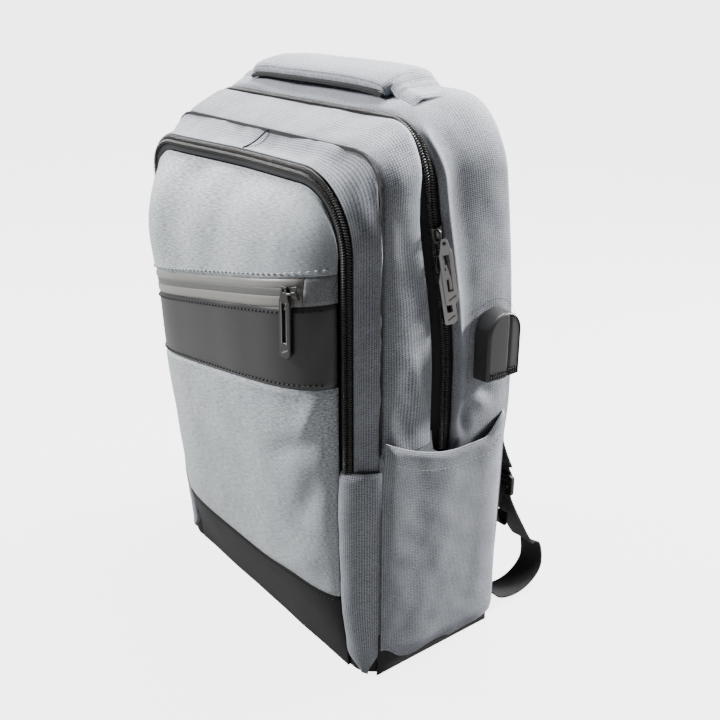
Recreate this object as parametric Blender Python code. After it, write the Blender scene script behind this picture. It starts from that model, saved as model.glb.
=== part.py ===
"""Laptop backpack with a U-zipped front pocket, a main zip, side pockets and a charging hood.

Metres, +Z up, the front faces -Y, the base stands on z = 0.
"""
import math

import bmesh
import bpy
from mathutils import Vector

for old in list(bpy.data.objects):
    bpy.data.objects.remove(old)

GAP = 0.0003
FABRIC = 0.0022
FOLD_Z = 0.197
FOLD_Y = -0.106
BASE_T = 0.012

ZIP_HALF, ZIP_TOP, ZIP_R, ZIP_R_LEFT = 0.1305, 0.4020, 0.054, 0.032
PANEL_HALF = 0.1225
EDGE_Y = -0.0635
BULGE, BULGE_LEAN = 0.035, 0.035
CORNER_PUSH = 0.011
SEAM_Y, SEAM_HALF, SEAM_TOP, SEAM_R = -0.0440, 0.148, 0.424, 0.032
MID_TOP, MID_R = 0.436, 0.036
MAIN_HALF, MAIN_TOP, MAIN_R = 0.1450, 0.4365, 0.040
REAR_TOP, REAR_R = 0.4530, 0.053
SHOULDER_Z = 0.385


def ease(t):
    t = min(1.0, max(0.0, t))
    return t * t * (3 - 2 * t)


def main_y(x, z):
    """Depth of the main zip's centre line."""
    return 0.0175 - 0.0225 * ease((z - 0.25) / 0.18)


def back_y(z):
    arc = 0.061 + 0.020 * math.sin(math.pi * min(1.0, max(0.0, z / 0.42)))
    foot = 0.0808 - 0.0073 * ((0.21 - z) / 0.21) ** 2 if z < 0.21 else 0.0
    return max(arc, foot)


def side_half(z):
    """Half width of the rear side, held in where the pocket covers it."""
    return 0.1482 + 0.0036 * ease((z - 0.16) / 0.06)


def panel_top(x):
    """Height of the front panel's upper edge."""
    inset = 0.008
    r = (ZIP_R if x > 0 else ZIP_R_LEFT) - inset
    flat = ZIP_HALF - inset - r
    top = ZIP_TOP - inset
    if abs(x) <= flat:
        return top
    return top - r + math.sqrt(max(0.0, r * r - (abs(x) - flat) ** 2))


def edge_y(x, z):
    """Depth of the front panel's rim, pushed forwards at the upper left corner."""
    foot = 0.007 * (1 - ease(z / 0.08))
    return EDGE_Y + foot - CORNER_PUSH * ease((z - 0.26) / 0.12) * ease((0.02 - x) / 0.14)


def panel_y(x, z):
    """Depth of the front panel's face, which bulges towards -Y."""
    across = math.sqrt(max(0.0, 1 - abs(x / PANEL_HALF) ** 4.5))
    low = 1 - (1 - min(1.0, max(0.0, z / 0.30))) ** 2.0
    high = 1 - (1 - min(1.0, max(0.0, (panel_top(x) - z) / 0.08))) ** 2.4
    return edge_y(x, z) - (BULGE - BULGE_LEAN * x) * across * low * high


def band_low(x):
    return 0.2345 + 0.150 * x


def band_high(x):
    return 0.2940 + 0.190 * x


def zip_high(x):
    return 0.3135 + 0.200 * x


def trim_high(x):
    return 0.066 + 0.006 * ease((x - 0.02) / 0.06)


def paint(name, colour, roughness, metallic=0.0):
    material = bpy.data.materials.new(name)
    material.use_nodes = True
    shader = material.node_tree.nodes["Principled BSDF"]
    shader.inputs["Base Color"].default_value = (*colour, 1.0)
    shader.inputs["Roughness"].default_value = roughness
    shader.inputs["Metallic"].default_value = metallic
    return material


FACE = ((0.42, 0.44, 0.46), 0.9)
SIDE = ((0.25, 0.26, 0.28), 0.9)
LINING = ((0.05, 0.05, 0.055), 0.85)
PU = ((0.03, 0.03, 0.033), 0.45)
TAPE = ((0.012, 0.012, 0.013), 0.8)
TAUPE = ((0.30, 0.28, 0.26), 0.4)
RUBBER = ((0.02, 0.02, 0.021), 0.5)
WEB = ((0.015, 0.015, 0.016), 0.75)
METAL = ((0.28, 0.27, 0.27), 0.35, 0.9)
PLASTIC = ((0.02, 0.02, 0.021), 0.4)


def build(name, points, faces, look, pivot=(0, 0, 0)):
    """Adds one closed mesh object whose origin is its pivot."""
    data = bpy.data.meshes.new(name)
    data.from_pydata([Vector(p) - Vector(pivot) for p in points], [], faces)
    work = bmesh.new()
    work.from_mesh(data)
    bmesh.ops.recalc_face_normals(work, faces=work.faces)
    work.to_mesh(data)
    work.free()
    data.materials.append(paint(name, *look))
    thing = bpy.data.objects.new(name, data)
    thing.location = pivot
    bpy.context.scene.collection.objects.link(thing)
    return thing


def sheet(name, outer, inner, look, pivot=(0, 0, 0)):
    """A closed slab between two grids of points."""
    rows, cols = len(outer), len(outer[0])
    points = [p for row in outer for p in row] + [p for row in inner for p in row]
    shift = rows * cols

    def at(i, j, side):
        return side * shift + i * cols + j

    faces = []
    for side in (0, 1):
        for i in range(rows - 1):
            for j in range(cols - 1):
                faces.append((at(i, j, side), at(i + 1, j, side), at(i + 1, j + 1, side), at(i, j + 1, side)))
    for i in range(rows - 1):
        for j in (0, cols - 1):
            faces.append((at(i, j, 0), at(i + 1, j, 0), at(i + 1, j, 1), at(i, j, 1)))
    for j in range(cols - 1):
        for i in (0, rows - 1):
            faces.append((at(i, j, 0), at(i, j + 1, 0), at(i, j + 1, 1), at(i, j, 1)))
    return build(name, points, faces, look, pivot)


def sweep(name, rails, look, pivot=(0, 0, 0), loop=False):
    """A closed solid whose section runs along rails of equal length."""
    sides, count = len(rails), len(rails[0])
    points = [p for rail in rails for p in rail]
    faces = []
    for k in range(sides):
        other = (k + 1) % sides
        for i in range(count if loop else count - 1):
            after = (i + 1) % count
            faces.append((k * count + i, k * count + after, other * count + after, other * count + i))
    if not loop:
        faces.append([k * count for k in range(sides)])
        faces.append([k * count + count - 1 for k in reversed(range(sides))])
    return build(name, points, faces, look, pivot)


def box(name, low, high, look, pivot=(0, 0, 0)):
    (a, b, c), (d, e, f) = low, high
    rails = [
        [(a, b, c), (d, b, c)],
        [(a, e, c), (d, e, c)],
        [(a, e, f), (d, e, f)],
        [(a, b, f), (d, b, f)],
    ]
    return sweep(name, rails, look, pivot)


def arch(half, top, r, depth, low=FOLD_Z + GAP, left=None, legs=5, turns=6, flats=6):
    """A rail up the right side, over the top and down the left side."""
    left = r if left is None else left
    path = [(half, low + (top - r - low) * i / legs) for i in range(legs)]
    for i in range(turns):
        a = math.pi / 2 * i / turns
        path.append((half - r + r * math.cos(a), top - r + r * math.sin(a)))
    for i in range(flats + 1):
        path.append((half - r - (2 * half - r - left) * i / flats, top))
    for i in range(1, turns + 1):
        a = math.pi / 2 * (1 + i / turns)
        path.append((left - half + left * math.cos(a), top - left + left * math.sin(a)))
    path += [(-half, top - left - (top - left - low) * i / legs) for i in range(1, legs + 1)]
    return [(x, depth(x, z) if callable(depth) else depth, z) for x, z in path]


def front_arch(offset, back, low=FOLD_Z + GAP):
    """A rail beside the front zip's centre line, offset outwards and set back from the rim."""
    r_left = ZIP_R_LEFT + offset
    return arch(ZIP_HALF + offset, ZIP_TOP + offset, ZIP_R + offset, lambda x, z: edge_y(x, z) + back, low, r_left)


def span(low, high, steps):
    return [low + (high - low) * i / steps for i in range(steps + 1)]


def mirrored(points, side):
    return [(side * x, y, z) for x, y, z in points]


# Front panel, cut into its sewn pieces along slanted seams.
def panel(name, low, high, look, start=-PANEL_HALF, stop=PANEL_HALF, steps=10, rows=4, pivot=(0, 0, 0)):
    xs = [start + (stop - start) * (0.5 - 0.5 * math.cos(math.pi * i / steps)) for i in range(steps + 1)]
    outer, inner = [], []
    for i in range(rows + 1):
        line = []
        for x in xs:
            z = low(x) + (high(x) - low(x)) * i / rows
            line.append((x, panel_y(x, z), z))
        outer.append(line)
        inner.append([(x, y + FABRIC, z) for x, y, z in line])
    return sheet(name, outer, inner, look, pivot)


FLAP_PIVOT = (0, FOLD_Y, FOLD_Z)
PATCH_X = 0.1075
panel("bottom_trim", lambda x: 0.0, lambda x: trim_high(x) - GAP, PU)
panel("front_panel_lower", lambda x: trim_high(x), lambda x: FOLD_Z - GAP, FACE)
panel("flap_lower", lambda x: FOLD_Z + GAP, lambda x: band_low(x) - GAP, FACE, rows=2, pivot=FLAP_PIVOT)
panel("pu_band", band_low, lambda x: band_high(x) - GAP, PU, rows=3, pivot=FLAP_PIVOT)
panel("pocket_zip_tape", band_high, lambda x: zip_high(x) - GAP, TAUPE, stop=PATCH_X - GAP, rows=1, pivot=FLAP_PIVOT)
panel("twill_patch", band_high, lambda x: zip_high(x) - GAP, SIDE, start=PATCH_X, steps=3, rows=1, pivot=FLAP_PIVOT)
panel("flap_upper", zip_high, panel_top, FACE, rows=6, pivot=FLAP_PIVOT)

# Front zip: the inner tape is on the flap, the chain and outer tape on the front section.
sweep("front_zip_inner", [
    front_arch(-0.0077, 0.0),
    front_arch(-0.0043, 0.0012),
    front_arch(-0.0043, 0.0024),
    front_arch(-0.0077, 0.0014),
], TAPE, FLAP_PIVOT)
sweep("front_zip_outer", [
    front_arch(-0.0028, 0.0020),
    front_arch(0.0000, 0.0004),
    front_arch(0.0028, 0.0034),
    front_arch(0.0076, 0.0112),
    front_arch(0.0066, 0.0122),
    front_arch(-0.0028, 0.0034),
], TAPE, FLAP_PIVOT)
sweep("front_gusset", [
    front_arch(0.0080, 0.0122),
    arch(SEAM_HALF, SEAM_TOP - 0.001, SEAM_R, SEAM_Y - GAP),
    arch(SEAM_HALF - FABRIC, SEAM_TOP - 0.001 - FABRIC, SEAM_R - FABRIC, SEAM_Y - GAP),
    front_arch(0.0066, 0.0138),
], SIDE, FLAP_PIVOT)


def ring_wall(name, hoops, look, pivot=(0, 0, 0)):
    """An arched wall FABRIC thick: hoops are (half, top, radius, depth) from front to rear."""
    outer = [arch(h, t, r, d) for h, t, r, d in hoops]
    inner = [arch(h - FABRIC, t - FABRIC, r - FABRIC, d) for h, t, r, d in reversed(hoops)]
    return sweep(name, outer + inner, look, pivot)


ring_wall("mid_gusset", [
    (SEAM_HALF, SEAM_TOP, SEAM_R, SEAM_Y),
    (SEAM_HALF + 0.0012, 0.5 * (SEAM_TOP + MID_TOP), MID_R, lambda x, z: 0.5 * (SEAM_Y + main_y(x, z) - 0.017)),
    (SEAM_HALF, MID_TOP, MID_R, lambda x, z: main_y(x, z) - 0.017),
], SIDE, FLAP_PIVOT)
sweep("main_zip_front", [
    arch(MAIN_HALF + 0.0004, MAIN_TOP + 0.0004, MAIN_R, lambda x, z: main_y(x, z) - 0.0165),
    arch(MAIN_HALF + 0.0004, MAIN_TOP + 0.0004, MAIN_R, lambda x, z: main_y(x, z) - 0.0048),
    arch(MAIN_HALF - 0.0006, MAIN_TOP - 0.0006, MAIN_R - 0.001, lambda x, z: main_y(x, z) - 0.0048),
    arch(MAIN_HALF - 0.0006, MAIN_TOP - 0.0006, MAIN_R - 0.001, lambda x, z: main_y(x, z) - 0.0165),
], TAPE, FLAP_PIVOT)

ZIP_LOW = 0.1885
sweep("main_zip_rear", [
    arch(MAIN_HALF, MAIN_TOP, MAIN_R, lambda x, z: main_y(x, z) - 0.0030, ZIP_LOW),
    arch(MAIN_HALF + 0.0020, MAIN_TOP + 0.0020, MAIN_R + 0.002, main_y, ZIP_LOW),
    arch(MAIN_HALF, MAIN_TOP, MAIN_R, lambda x, z: main_y(x, z) + 0.0030, ZIP_LOW),
    arch(MAIN_HALF, MAIN_TOP, MAIN_R, lambda x, z: main_y(x, z) + 0.0097, ZIP_LOW),
    arch(MAIN_HALF - 0.0010, MAIN_TOP - 0.0010, MAIN_R - 0.001, lambda x, z: main_y(x, z) + 0.0097, ZIP_LOW),
    arch(MAIN_HALF - 0.0010, MAIN_TOP - 0.0010, MAIN_R - 0.001, lambda x, z: main_y(x, z) - 0.0030, ZIP_LOW),
], TAPE)

# Rear part: sides up to the shoulders and an arched top.
REAR_HOOPS = (
    (-0.0020, -0.014, 0.050, lambda x, z: main_y(x, z) + 0.0100),
    (0.0000, -0.002, REAR_R, lambda x, z: 0.6 * (main_y(x, z) + 0.010) + 0.4 * (back_y(z) - 0.003)),
    (0.0000, 0.000, REAR_R, lambda x, z: 0.25 * (main_y(x, z) + 0.010) + 0.75 * (back_y(z) - 0.003)),
    (-0.0030, -0.003, REAR_R, lambda x, z: back_y(z) - 0.0030),
)


def rear_hoop(spec, thin):
    wide, rise, r, depth = spec
    half = side_half(1.0) + wide - thin
    rail = arch(half, REAR_TOP + rise - thin, r - thin, depth, SHOULDER_Z, legs=2, turns=7)
    return rail


sweep(
    "rear_top",
    [rear_hoop(spec, 0.0) for spec in REAR_HOOPS] + [rear_hoop(spec, FABRIC) for spec in reversed(REAR_HOOPS)],
    SIDE,
)


def side_rail(side, spec, thin, low, high):
    wide, _, _, depth = spec
    return [(side * (side_half(z) + wide - thin), depth(0, z), z) for z in span(low, high, 8)]


for side, tag in ((1, "right"), (-1, "left")):
    outer = [side_rail(side, spec, 0.0, BASE_T + GAP, SHOULDER_Z - GAP) for spec in REAR_HOOPS]
    inner = [side_rail(side, spec, FABRIC, BASE_T + GAP, SHOULDER_Z - GAP) for spec in reversed(REAR_HOOPS)]
    sweep("rear_side_" + tag, outer + inner, SIDE)

    zs = span(BASE_T + GAP, ZIP_LOW - GAP, 3)
    skin = [[(side * x, y, z) for z in zs] for x, y in ((SEAM_HALF, SEAM_Y), (SEAM_HALF, 0.0272))]
    back = [[(side * (x - FABRIC), y, z) for z in zs] for x, y in ((SEAM_HALF, 0.0272), (SEAM_HALF, SEAM_Y))]
    sweep("mid_side_" + tag, skin + back, SIDE)

    strip = ((PANEL_HALF + 0.0007, 0.0002), (0.1385, 0.0090), (SEAM_HALF, SEAM_Y - EDGE_Y - GAP))
    under = ((SEAM_HALF - FABRIC, SEAM_Y - EDGE_Y - GAP), (0.1370, 0.0116), (PANEL_HALF + 0.0007, 0.0024))
    rails = []
    for x, back in strip + under:
        share = 1 - back / (SEAM_Y - EDGE_Y)
        rail = [(x, SEAM_Y - GAP + (edge_y(1, z) + 0.0002 - SEAM_Y) * share, z) for z in span(0.001, FOLD_Z - GAP, 6)]
        rails.append([(side * x, y, z) for x, y, z in rail])
    sweep("front_strip_" + tag, rails, SIDE)

    # Side pocket: a shallow open pouch standing off the side.
    ys = span(-0.0430, 0.0740, 13)
    outer, inner = [], []
    for i in range(7):
        near, far = [], []
        for y in ys:
            top = 0.1905 + 0.026 * max(0.0, (0.025 - y) / 0.075) ** 1.6 + 0.014 * ease((y - 0.052) / 0.024)
            z = 0.0060 + (top - 0.0060) * i / 6
            lift = math.sqrt(max(0.0, 1 - abs((y - 0.0155) / 0.0586) ** 7)) * ease(z / 0.03 + 0.1)
            x = side_half(z) + 0.0022 + 0.0070 * lift
            near.append((side * x, y, z))
            far.append((side * (x - 0.0014), y, z))
        outer.append(near)
        inner.append(far)
    sheet("side_pocket_" + tag, outer, inner, SIDE)

# Walls of the compartments.
def wall(name, y, half, low, high, r, look, pivot=(0, 0, 0), thick=0.0020, steps=8, legs=3):
    outer, inner = [], []
    heights = [low + (high - r - low) * i / legs for i in range(legs)]
    heights += [high - r + r * math.sin(math.pi / 2 * i / 5) for i in range(6)]
    for z in heights:
        a = max(0.0, z - (high - r))
        reach = half - r + math.sqrt(max(0.0, r * r - a * a))
        outer.append([(reach * (2 * j / steps - 1), y(z), z) for j in range(steps + 1)])
        inner.append([(x, d + thick, h) for x, d, h in outer[-1]])
    return sheet(name, outer, inner, look, pivot)


INNER_Y = SEAM_Y + 0.0003
box("front_wall_lower", (-0.1448, INNER_Y, BASE_T + GAP), (0.1448, INNER_Y + 0.002, FOLD_Z - GAP), LINING)
wall("front_wall", lambda z: INNER_Y, 0.1448, FOLD_Z + GAP, SEAM_TOP - 0.0035, 0.030, LINING, FLAP_PIVOT)
wall("back_panel", lambda z: back_y(z) - 0.0022, 0.1476, BASE_T + GAP, 0.4450, 0.0525, LINING, thick=0.008, legs=8)
wall("laptop_sleeve", lambda z: 0.047, 0.1350, 0.0135, 0.3400, 0.020, LINING, thick=0.004)


def base_outline(inset, z):
    half, front, rear, r = 0.1462 - inset, -0.0538 + inset, 0.0700 - inset, 0.030
    loop = []
    for cx, cy, start in ((half - r, rear - r, 0), (r - half, rear - r, 1), (r - half, front + r, 2), (half - r, front + r, 3)):
        for i in range(5):
            a = math.pi / 2 * (start + i / 4)
            loop.append((cx + r * math.cos(a), cy + r * math.sin(a), z))
    return loop


def stack(name, loops, look, pivot=(0, 0, 0)):
    """A closed solid skinned over outlines of equal length, capped at both ends."""
    k = len(loops[0])
    points = [p for loop in loops for p in loop]
    faces = [list(range(k)), list(range(len(points) - k, len(points)))]
    for r in range(len(loops) - 1):
        for i in range(k):
            j = (i + 1) % k
            faces.append((r * k + i, r * k + j, r * k + k + j, r * k + k + i))
    return build(name, points, faces, look, pivot)


stack("base_panel", [base_outline(0.0050, 0.0), base_outline(0.0, 0.0040), base_outline(0.0, BASE_T)], PU)

# Carry handle: a padded bridge with its ends sewn to the rear top.
HANDLE_HALF = 0.090


def handle_rail(y, z, thin=0.0):
    rail = []
    for x in span(-HANDLE_HALF, HANDLE_HALF, 12):
        rise = 1 - abs(x / HANDLE_HALF) ** 3
        rail.append((x, y, z + 0.0050 * rise - thin))
    return rail


sweep("handle", [
    handle_rail(0.0050, 0.4490),
    handle_rail(0.0460, 0.4540),
    handle_rail(0.0500, 0.4590),
    handle_rail(0.0460, 0.4640),
    handle_rail(0.0080, 0.4545),
    handle_rail(0.0035, 0.4510),
], SIDE)

# Charging hood: an arched rubber cover open at the bottom, with the inlet under its crown.
HOOD_Y, HOOD_HALF, HOOD_LOW, HOOD_TOP = 0.0590, 0.0185, 0.2430, 0.2980
HOOD_BASE, HOOD_PROUD = 0.1522, 0.0145


def hood_line(x, inset, drop=0.0, steps=10):
    half = HOOD_HALF - inset
    top = HOOD_TOP - inset
    mid = top - half
    line = [(x, HOOD_Y - half, HOOD_LOW)]
    for i in range(steps + 1):
        a = math.pi * (1 - i / steps)
        line.append((x, HOOD_Y + half * math.cos(a), mid + half * math.sin(a)))
    line.append((x, HOOD_Y + half, HOOD_LOW))
    return line


SHELL = 0.0018
outside = [
    hood_line(HOOD_BASE, 0.0),
    hood_line(HOOD_BASE + HOOD_PROUD - 0.003, 0.0008),
    hood_line(HOOD_BASE + HOOD_PROUD, 0.0040),
]
inside = [
    hood_line(HOOD_BASE, SHELL),
    hood_line(HOOD_BASE + HOOD_PROUD - 0.0036, 0.0008 + SHELL),
    hood_line(HOOD_BASE + HOOD_PROUD - SHELL, 0.0040 + SHELL),
]
lines = outside + list(reversed(inside))
count = len(lines[0])
points = [p for line in lines for p in line]
faces = []
for k in range(6):
    if k == 2:
        continue
    other = (k + 1) % 6
    for i in range(count - 1):
        faces.append((k * count + i, k * count + i + 1, other * count + i + 1, other * count + i))
faces.append([2 * count + i for i in range(count)])
faces.append([3 * count + i for i in range(count)])
rim = [k * count for k in range(3)] + [k * count + count - 1 for k in (2, 1, 0)]
rim += [k * count + count - 1 for k in (5, 4, 3)] + [k * count for k in (3, 4, 5)]
faces.append(rim)
build("usb_hood", points, faces, RUBBER)


def cup(name, low, high, wall_t, floor_t, look):
    """A box with a recess in its underside."""
    (a, b, c), (d, e, f) = low, high

    def loop(inset, z):
        return [(a + inset, b + inset, z), (d - inset, b + inset, z), (d - inset, e - inset, z), (a + inset, e - inset, z)]

    rings = [loop(0, f), loop(0, c), loop(wall_t, c), loop(wall_t, f - floor_t)]
    pts = [p for ring in rings for p in ring]
    fcs = [(0, 1, 2, 3), (12, 13, 14, 15)]
    for k in range(3):
        for i in range(4):
            j = (i + 1) % 4
            fcs.append((4 * k + i, 4 * k + j, 4 * k + 4 + j, 4 * k + 4 + i))
    return build(name, pts, fcs, look)


cup("usb_inlet", (0.1526, 0.0500, 0.2600), (0.1610, 0.0680, 0.2740), 0.0013, 0.004, PLASTIC)

# Zip sliders and their pulls, placed by a centre, an along, an outward and a sideways direction.
def place(centre, along, out, side, a, n, s):
    return tuple(Vector(centre) + Vector(along) * a + Vector(out) * n + Vector(side) * s)


def slider(name, centre, along, out, pivot):
    along, out = Vector(along).normalized(), Vector(out).normalized()
    side = along.cross(out)
    plan = ((-0.0060, 0.0028), (-0.0045, 0.0042), (0.0020, 0.0044), (0.0060, 0.0034))
    outline = list(plan) + [(a, -s) for a, s in reversed(plan)]
    rails = []
    for n, shrink in ((0.0, 0.94), (0.0007, 1.0), (0.0018, 1.0), (0.0024, 0.90)):
        rails.append([place(centre, along, out, side, a * shrink, n, s * shrink) for a, s in outline])
    pts = [p for rail in rails for p in rail]
    k = len(outline)
    fcs = [list(range(k)), list(range(3 * k, 4 * k))]
    for r in range(3):
        for i in range(k):
            j = (i + 1) % k
            fcs.append((r * k + i, r * k + j, r * k + k + j, r * k + k + i))
    return build(name, pts, fcs, METAL, pivot)


def pull(name, top, down, out, length, width, thick, pivot):
    down, out = Vector(down).normalized(), Vector(out).normalized()
    side = down.cross(out)
    half = width / 2
    outline = []
    slot = []
    for i in range(20):
        a = 2 * math.pi * (i + 0.5) / 20
        c, s = math.cos(a), math.sin(a)
        fit = 1 / max(abs(c), abs(s))
        fit = fit * (1 - 0.12 * (min(abs(c), abs(s)) * fit) ** 3)
        outline.append((length / 2 - length / 2 * c * fit, half * s * fit))
        slot.append((length * 0.45 - length * 0.27 * c * fit, half * 0.42 * s * fit))
    rails = [
        [place(top, down, out, side, a, 0, s) for a, s in outline],
        [place(top, down, out, side, a, 0, s) for a, s in slot],
        [place(top, down, out, side, a, thick, s) for a, s in slot],
        [place(top, down, out, side, a, thick, s) for a, s in outline],
    ]
    return sweep(name, rails, METAL, pivot, loop=True)


SLIDER_A = (0.1473, main_y(0, 0.361), 0.361)
TILT_A = (0, main_y(0, 0.371) - main_y(0, 0.351), 0.020)
slider("main_slider_upper", SLIDER_A, TILT_A, (1, 0, 0), SLIDER_A)
PULL_A = (0.1524, main_y(0, 0.361) + 0.001, 0.3580)
pull("main_pull_upper", PULL_A, (0, 0.22, -1), (1, 0, 0), 0.050, 0.0090, 0.0020, PULL_A)
SLIDER_B = (0.1473, main_y(0, 0.340), 0.340)
TILT_B = (0, main_y(0, 0.350) - main_y(0, 0.330), 0.020)
slider("main_slider_lower", SLIDER_B, TILT_B, (1, 0, 0), SLIDER_B)
PULL_B = (0.1500, main_y(0, 0.340), 0.3380)
pull("main_pull_lower", PULL_B, (0, 0.02, -1), (1, 0, 0), 0.046, 0.0090, 0.0018, PULL_B)

OUT_LEFT = (-0.7071, -0.7071, 0)
FRONT_SLIDER = (-0.1330, edge_y(-0.133, 0.262) - 0.0010, 0.2620)
slider("front_slider", FRONT_SLIDER, (0, 0, 1), OUT_LEFT, FRONT_SLIDER)
FRONT_PULL = (-0.1352, edge_y(-0.133, 0.262) - 0.0032, 0.2590)
pull("front_pull", FRONT_PULL, (0, 0, -1), OUT_LEFT, 0.050, 0.0090, 0.0020, FRONT_PULL)

POCKET_X, POCKET_END = 0.1025, 0.042


def pocket_track(x):
    z = 0.5 * (band_high(x) + zip_high(x))
    return Vector((x, panel_y(x, z), z))


POCKET_ALONG = (pocket_track(POCKET_X) - pocket_track(POCKET_END)).normalized()
POCKET_OUT = Vector((0.18, -1, 0)).normalized()
POCKET_SLIDER = tuple(pocket_track(POCKET_X) + POCKET_OUT * 0.0030)
slider("pocket_slider", POCKET_SLIDER, POCKET_ALONG, POCKET_OUT, POCKET_SLIDER)
POCKET_PULL = tuple(Vector(POCKET_SLIDER) + POCKET_OUT * 0.0050 + Vector((-0.0060, 0, 0.0030)))
pull("pocket_pull", POCKET_PULL, (-0.03, 0, -1), POCKET_OUT, 0.053, 0.0100, 0.0022, POCKET_PULL)

# Shoulder straps: curved pads hung from a yoke, with lower webbing back to the base corners.
YOKE_Y = back_y(0.43) + 0.0080
box("yoke", (-0.075, YOKE_Y, 0.4260), (0.075, YOKE_Y + 0.006, 0.4420), WEB)


def strap_centre(t, side):
    x = 0.046 + 0.062 * t ** 4
    y = YOKE_Y + 0.012 + 0.018 * math.sin(math.pi * min(1.0, t)) + 0.036 * t * t
    z = 0.4230 - 0.292 * t
    return Vector((side * x, y, z))


def ribbon(name, centres, wides, thick, look, pivot=(0, 0, 0), bow=0.0):
    """A band swept along its centre line: the section is six points round."""
    rails = [[] for _ in range(6)]
    for i, here in enumerate(centres):
        before, after = centres[max(0, i - 1)], centres[min(len(centres) - 1, i + 1)]
        ahead = (after - before).normalized()
        wide = wides[i][0]
        across = (wides[i][1] - ahead * wides[i][1].dot(ahead)).normalized()
        out = across.cross(ahead).normalized()
        half = wide / 2
        section = ((-half, 0), (-0.8 * half, 1), (0.8 * half, 1), (half, 0), (0.8 * half, -1), (-0.8 * half, -1))
        for k, (s, n) in enumerate(section):
            rails[k].append(tuple(here + across * s + out * (n * thick / 2)))
    return sweep(name, rails, look, pivot)


STRAP_AXIS = (0, YOKE_Y + 0.003, 0.4250)
for side, tag in ((1, "right"), (-1, "left")):
    ts = span(0.0, 1.0, 12)
    centres = [strap_centre(t, side) for t in ts]
    lean = Vector((1, 0, 0))
    wides = [(0.054 + 0.006 * math.sin(math.pi * t) - 0.016 * ease((t - 0.85) / 0.15), lean) for t in ts]
    ribbon("strap_" + tag, centres, wides, 0.010, LINING, STRAP_AXIS)
    end = strap_centre(1.0, side)
    lock = end + Vector((side * 0.002, 0.005, -0.0225))
    frame_rails = []
    for w, h in ((0.017, 0.010), (0.0125, 0.0055)):
        frame_rails.append([(w, h), (-w, h), (-w, -h), (w, -h)])
    front, rear = -0.002, 0.002
    loops = []
    for outline, y in ((0, front), (1, front), (1, rear), (0, rear)):
        loops.append([tuple(lock + Vector((a, y, b))) for a, b in frame_rails[outline]])
    sweep("ladder_lock_" + tag, loops, PLASTIC, STRAP_AXIS, loop=True)

    # Lower webbing: from the lock out and down to a slack turn near the floor, then to the base corner.
    path = [
        lock + Vector((0, 0.0035, -0.0165)),
        lock + Vector((side * 0.004, 0.012, -0.036)),
        lock + Vector((side * 0.010, 0.024, -0.062)),
        Vector((side * 0.124, 0.154, 0.0400)),
        Vector((side * 0.128, 0.152, 0.0210)),
        Vector((side * 0.129, 0.138, 0.0080)),
        Vector((side * 0.129, 0.118, 0.0040)),
        Vector((side * 0.128, 0.0980, 0.0090)),
        Vector((side * 0.126, 0.0860, 0.0215)),
    ]
    wides = [(0.025, lean)] * len(path)
    ribbon("webbing_" + tag, path, wides, 0.0016, WEB)
    tab_y = 0.0828
    box("anchor_tab_" + tag, (side * 0.127 - 0.016, tab_y, 0.026), (side * 0.127 + 0.016, tab_y + 0.003, 0.052), WEB)
    tail = [
        lock + Vector((-side * 0.004, -0.0040, -0.0140)),
        lock + Vector((-side * 0.007, -0.0040, -0.0260)),
        lock + Vector((-side * 0.008, 0.0000, -0.0380)),
        lock + Vector((-side * 0.008, 0.0060, -0.0480)),
    ]
    ribbon("webbing_tail_" + tag, tail, [(0.024, lean)] * 4, 0.0016, WEB, STRAP_AXIS)
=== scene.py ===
"""Grey laptop backpack: sewn cloth panels, coil zips, pulls, padded straps and a pale studio floor."""
import math

import bmesh
import bpy
from mathutils import Matrix, Vector, noise


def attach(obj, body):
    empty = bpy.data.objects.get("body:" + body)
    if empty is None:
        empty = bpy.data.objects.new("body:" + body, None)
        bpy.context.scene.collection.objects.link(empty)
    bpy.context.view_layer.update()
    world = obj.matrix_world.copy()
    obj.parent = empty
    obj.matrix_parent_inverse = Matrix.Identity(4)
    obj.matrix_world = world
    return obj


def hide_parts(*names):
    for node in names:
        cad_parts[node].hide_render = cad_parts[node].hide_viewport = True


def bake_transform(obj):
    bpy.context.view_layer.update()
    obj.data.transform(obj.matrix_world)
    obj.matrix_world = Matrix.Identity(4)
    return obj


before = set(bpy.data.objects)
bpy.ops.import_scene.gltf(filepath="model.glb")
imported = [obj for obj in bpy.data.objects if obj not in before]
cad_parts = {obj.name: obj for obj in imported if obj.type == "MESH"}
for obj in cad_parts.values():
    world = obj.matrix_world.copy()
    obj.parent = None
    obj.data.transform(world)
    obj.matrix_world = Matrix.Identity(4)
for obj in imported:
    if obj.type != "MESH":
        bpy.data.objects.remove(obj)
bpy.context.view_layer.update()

# Lengths in metres. The heights of the two fold lines, and heights above and below them, which are only
# listed in the bend entries.
FOLD_Z = 0.197
FOLD_TOP = 0.262
FOLD_LOW = 0.150
BASE_T = 0.012
# Each arch is given by half of its width, its top and the radius of its corners.
ZIP_HALF, ZIP_TOP, ZIP_R, ZIP_R_LEFT = 0.1305, 0.4020, 0.054, 0.032
PANEL_HALF = 0.1225
EDGE_Y = -0.0635
BULGE, BULGE_LEAN = 0.035, 0.035
CORNER_PUSH = 0.011
SEAM_Y, SEAM_HALF, SEAM_TOP, SEAM_R = -0.0440, 0.148, 0.424, 0.032
MID_TOP, MID_R = 0.436, 0.036
MAIN_HALF, MAIN_TOP, MAIN_R = 0.1450, 0.4365, 0.040
REAR_TOP, REAR_R = 0.4530, 0.053
# Lower ends of the main zip and the front zip, and the top of the strips below the front zip.
ZIP_LOW = 0.1885
FRONT_ZIP_LOW = 0.1835
STRIP_TOP = 0.1870
PATCH_X = 0.1075
CLOTH_THICK = 0.0012
TAPE_THICK = 0.0008
ABOVE_FLOOR = 0.0008
HEART = Vector((0.0, 0.005, 0.22))
SIDES = ((1, "right"), (-1, "left"))


def ease(t):
    t = min(1.0, max(0.0, t))
    return t * t * (3 - 2 * t)


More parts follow.
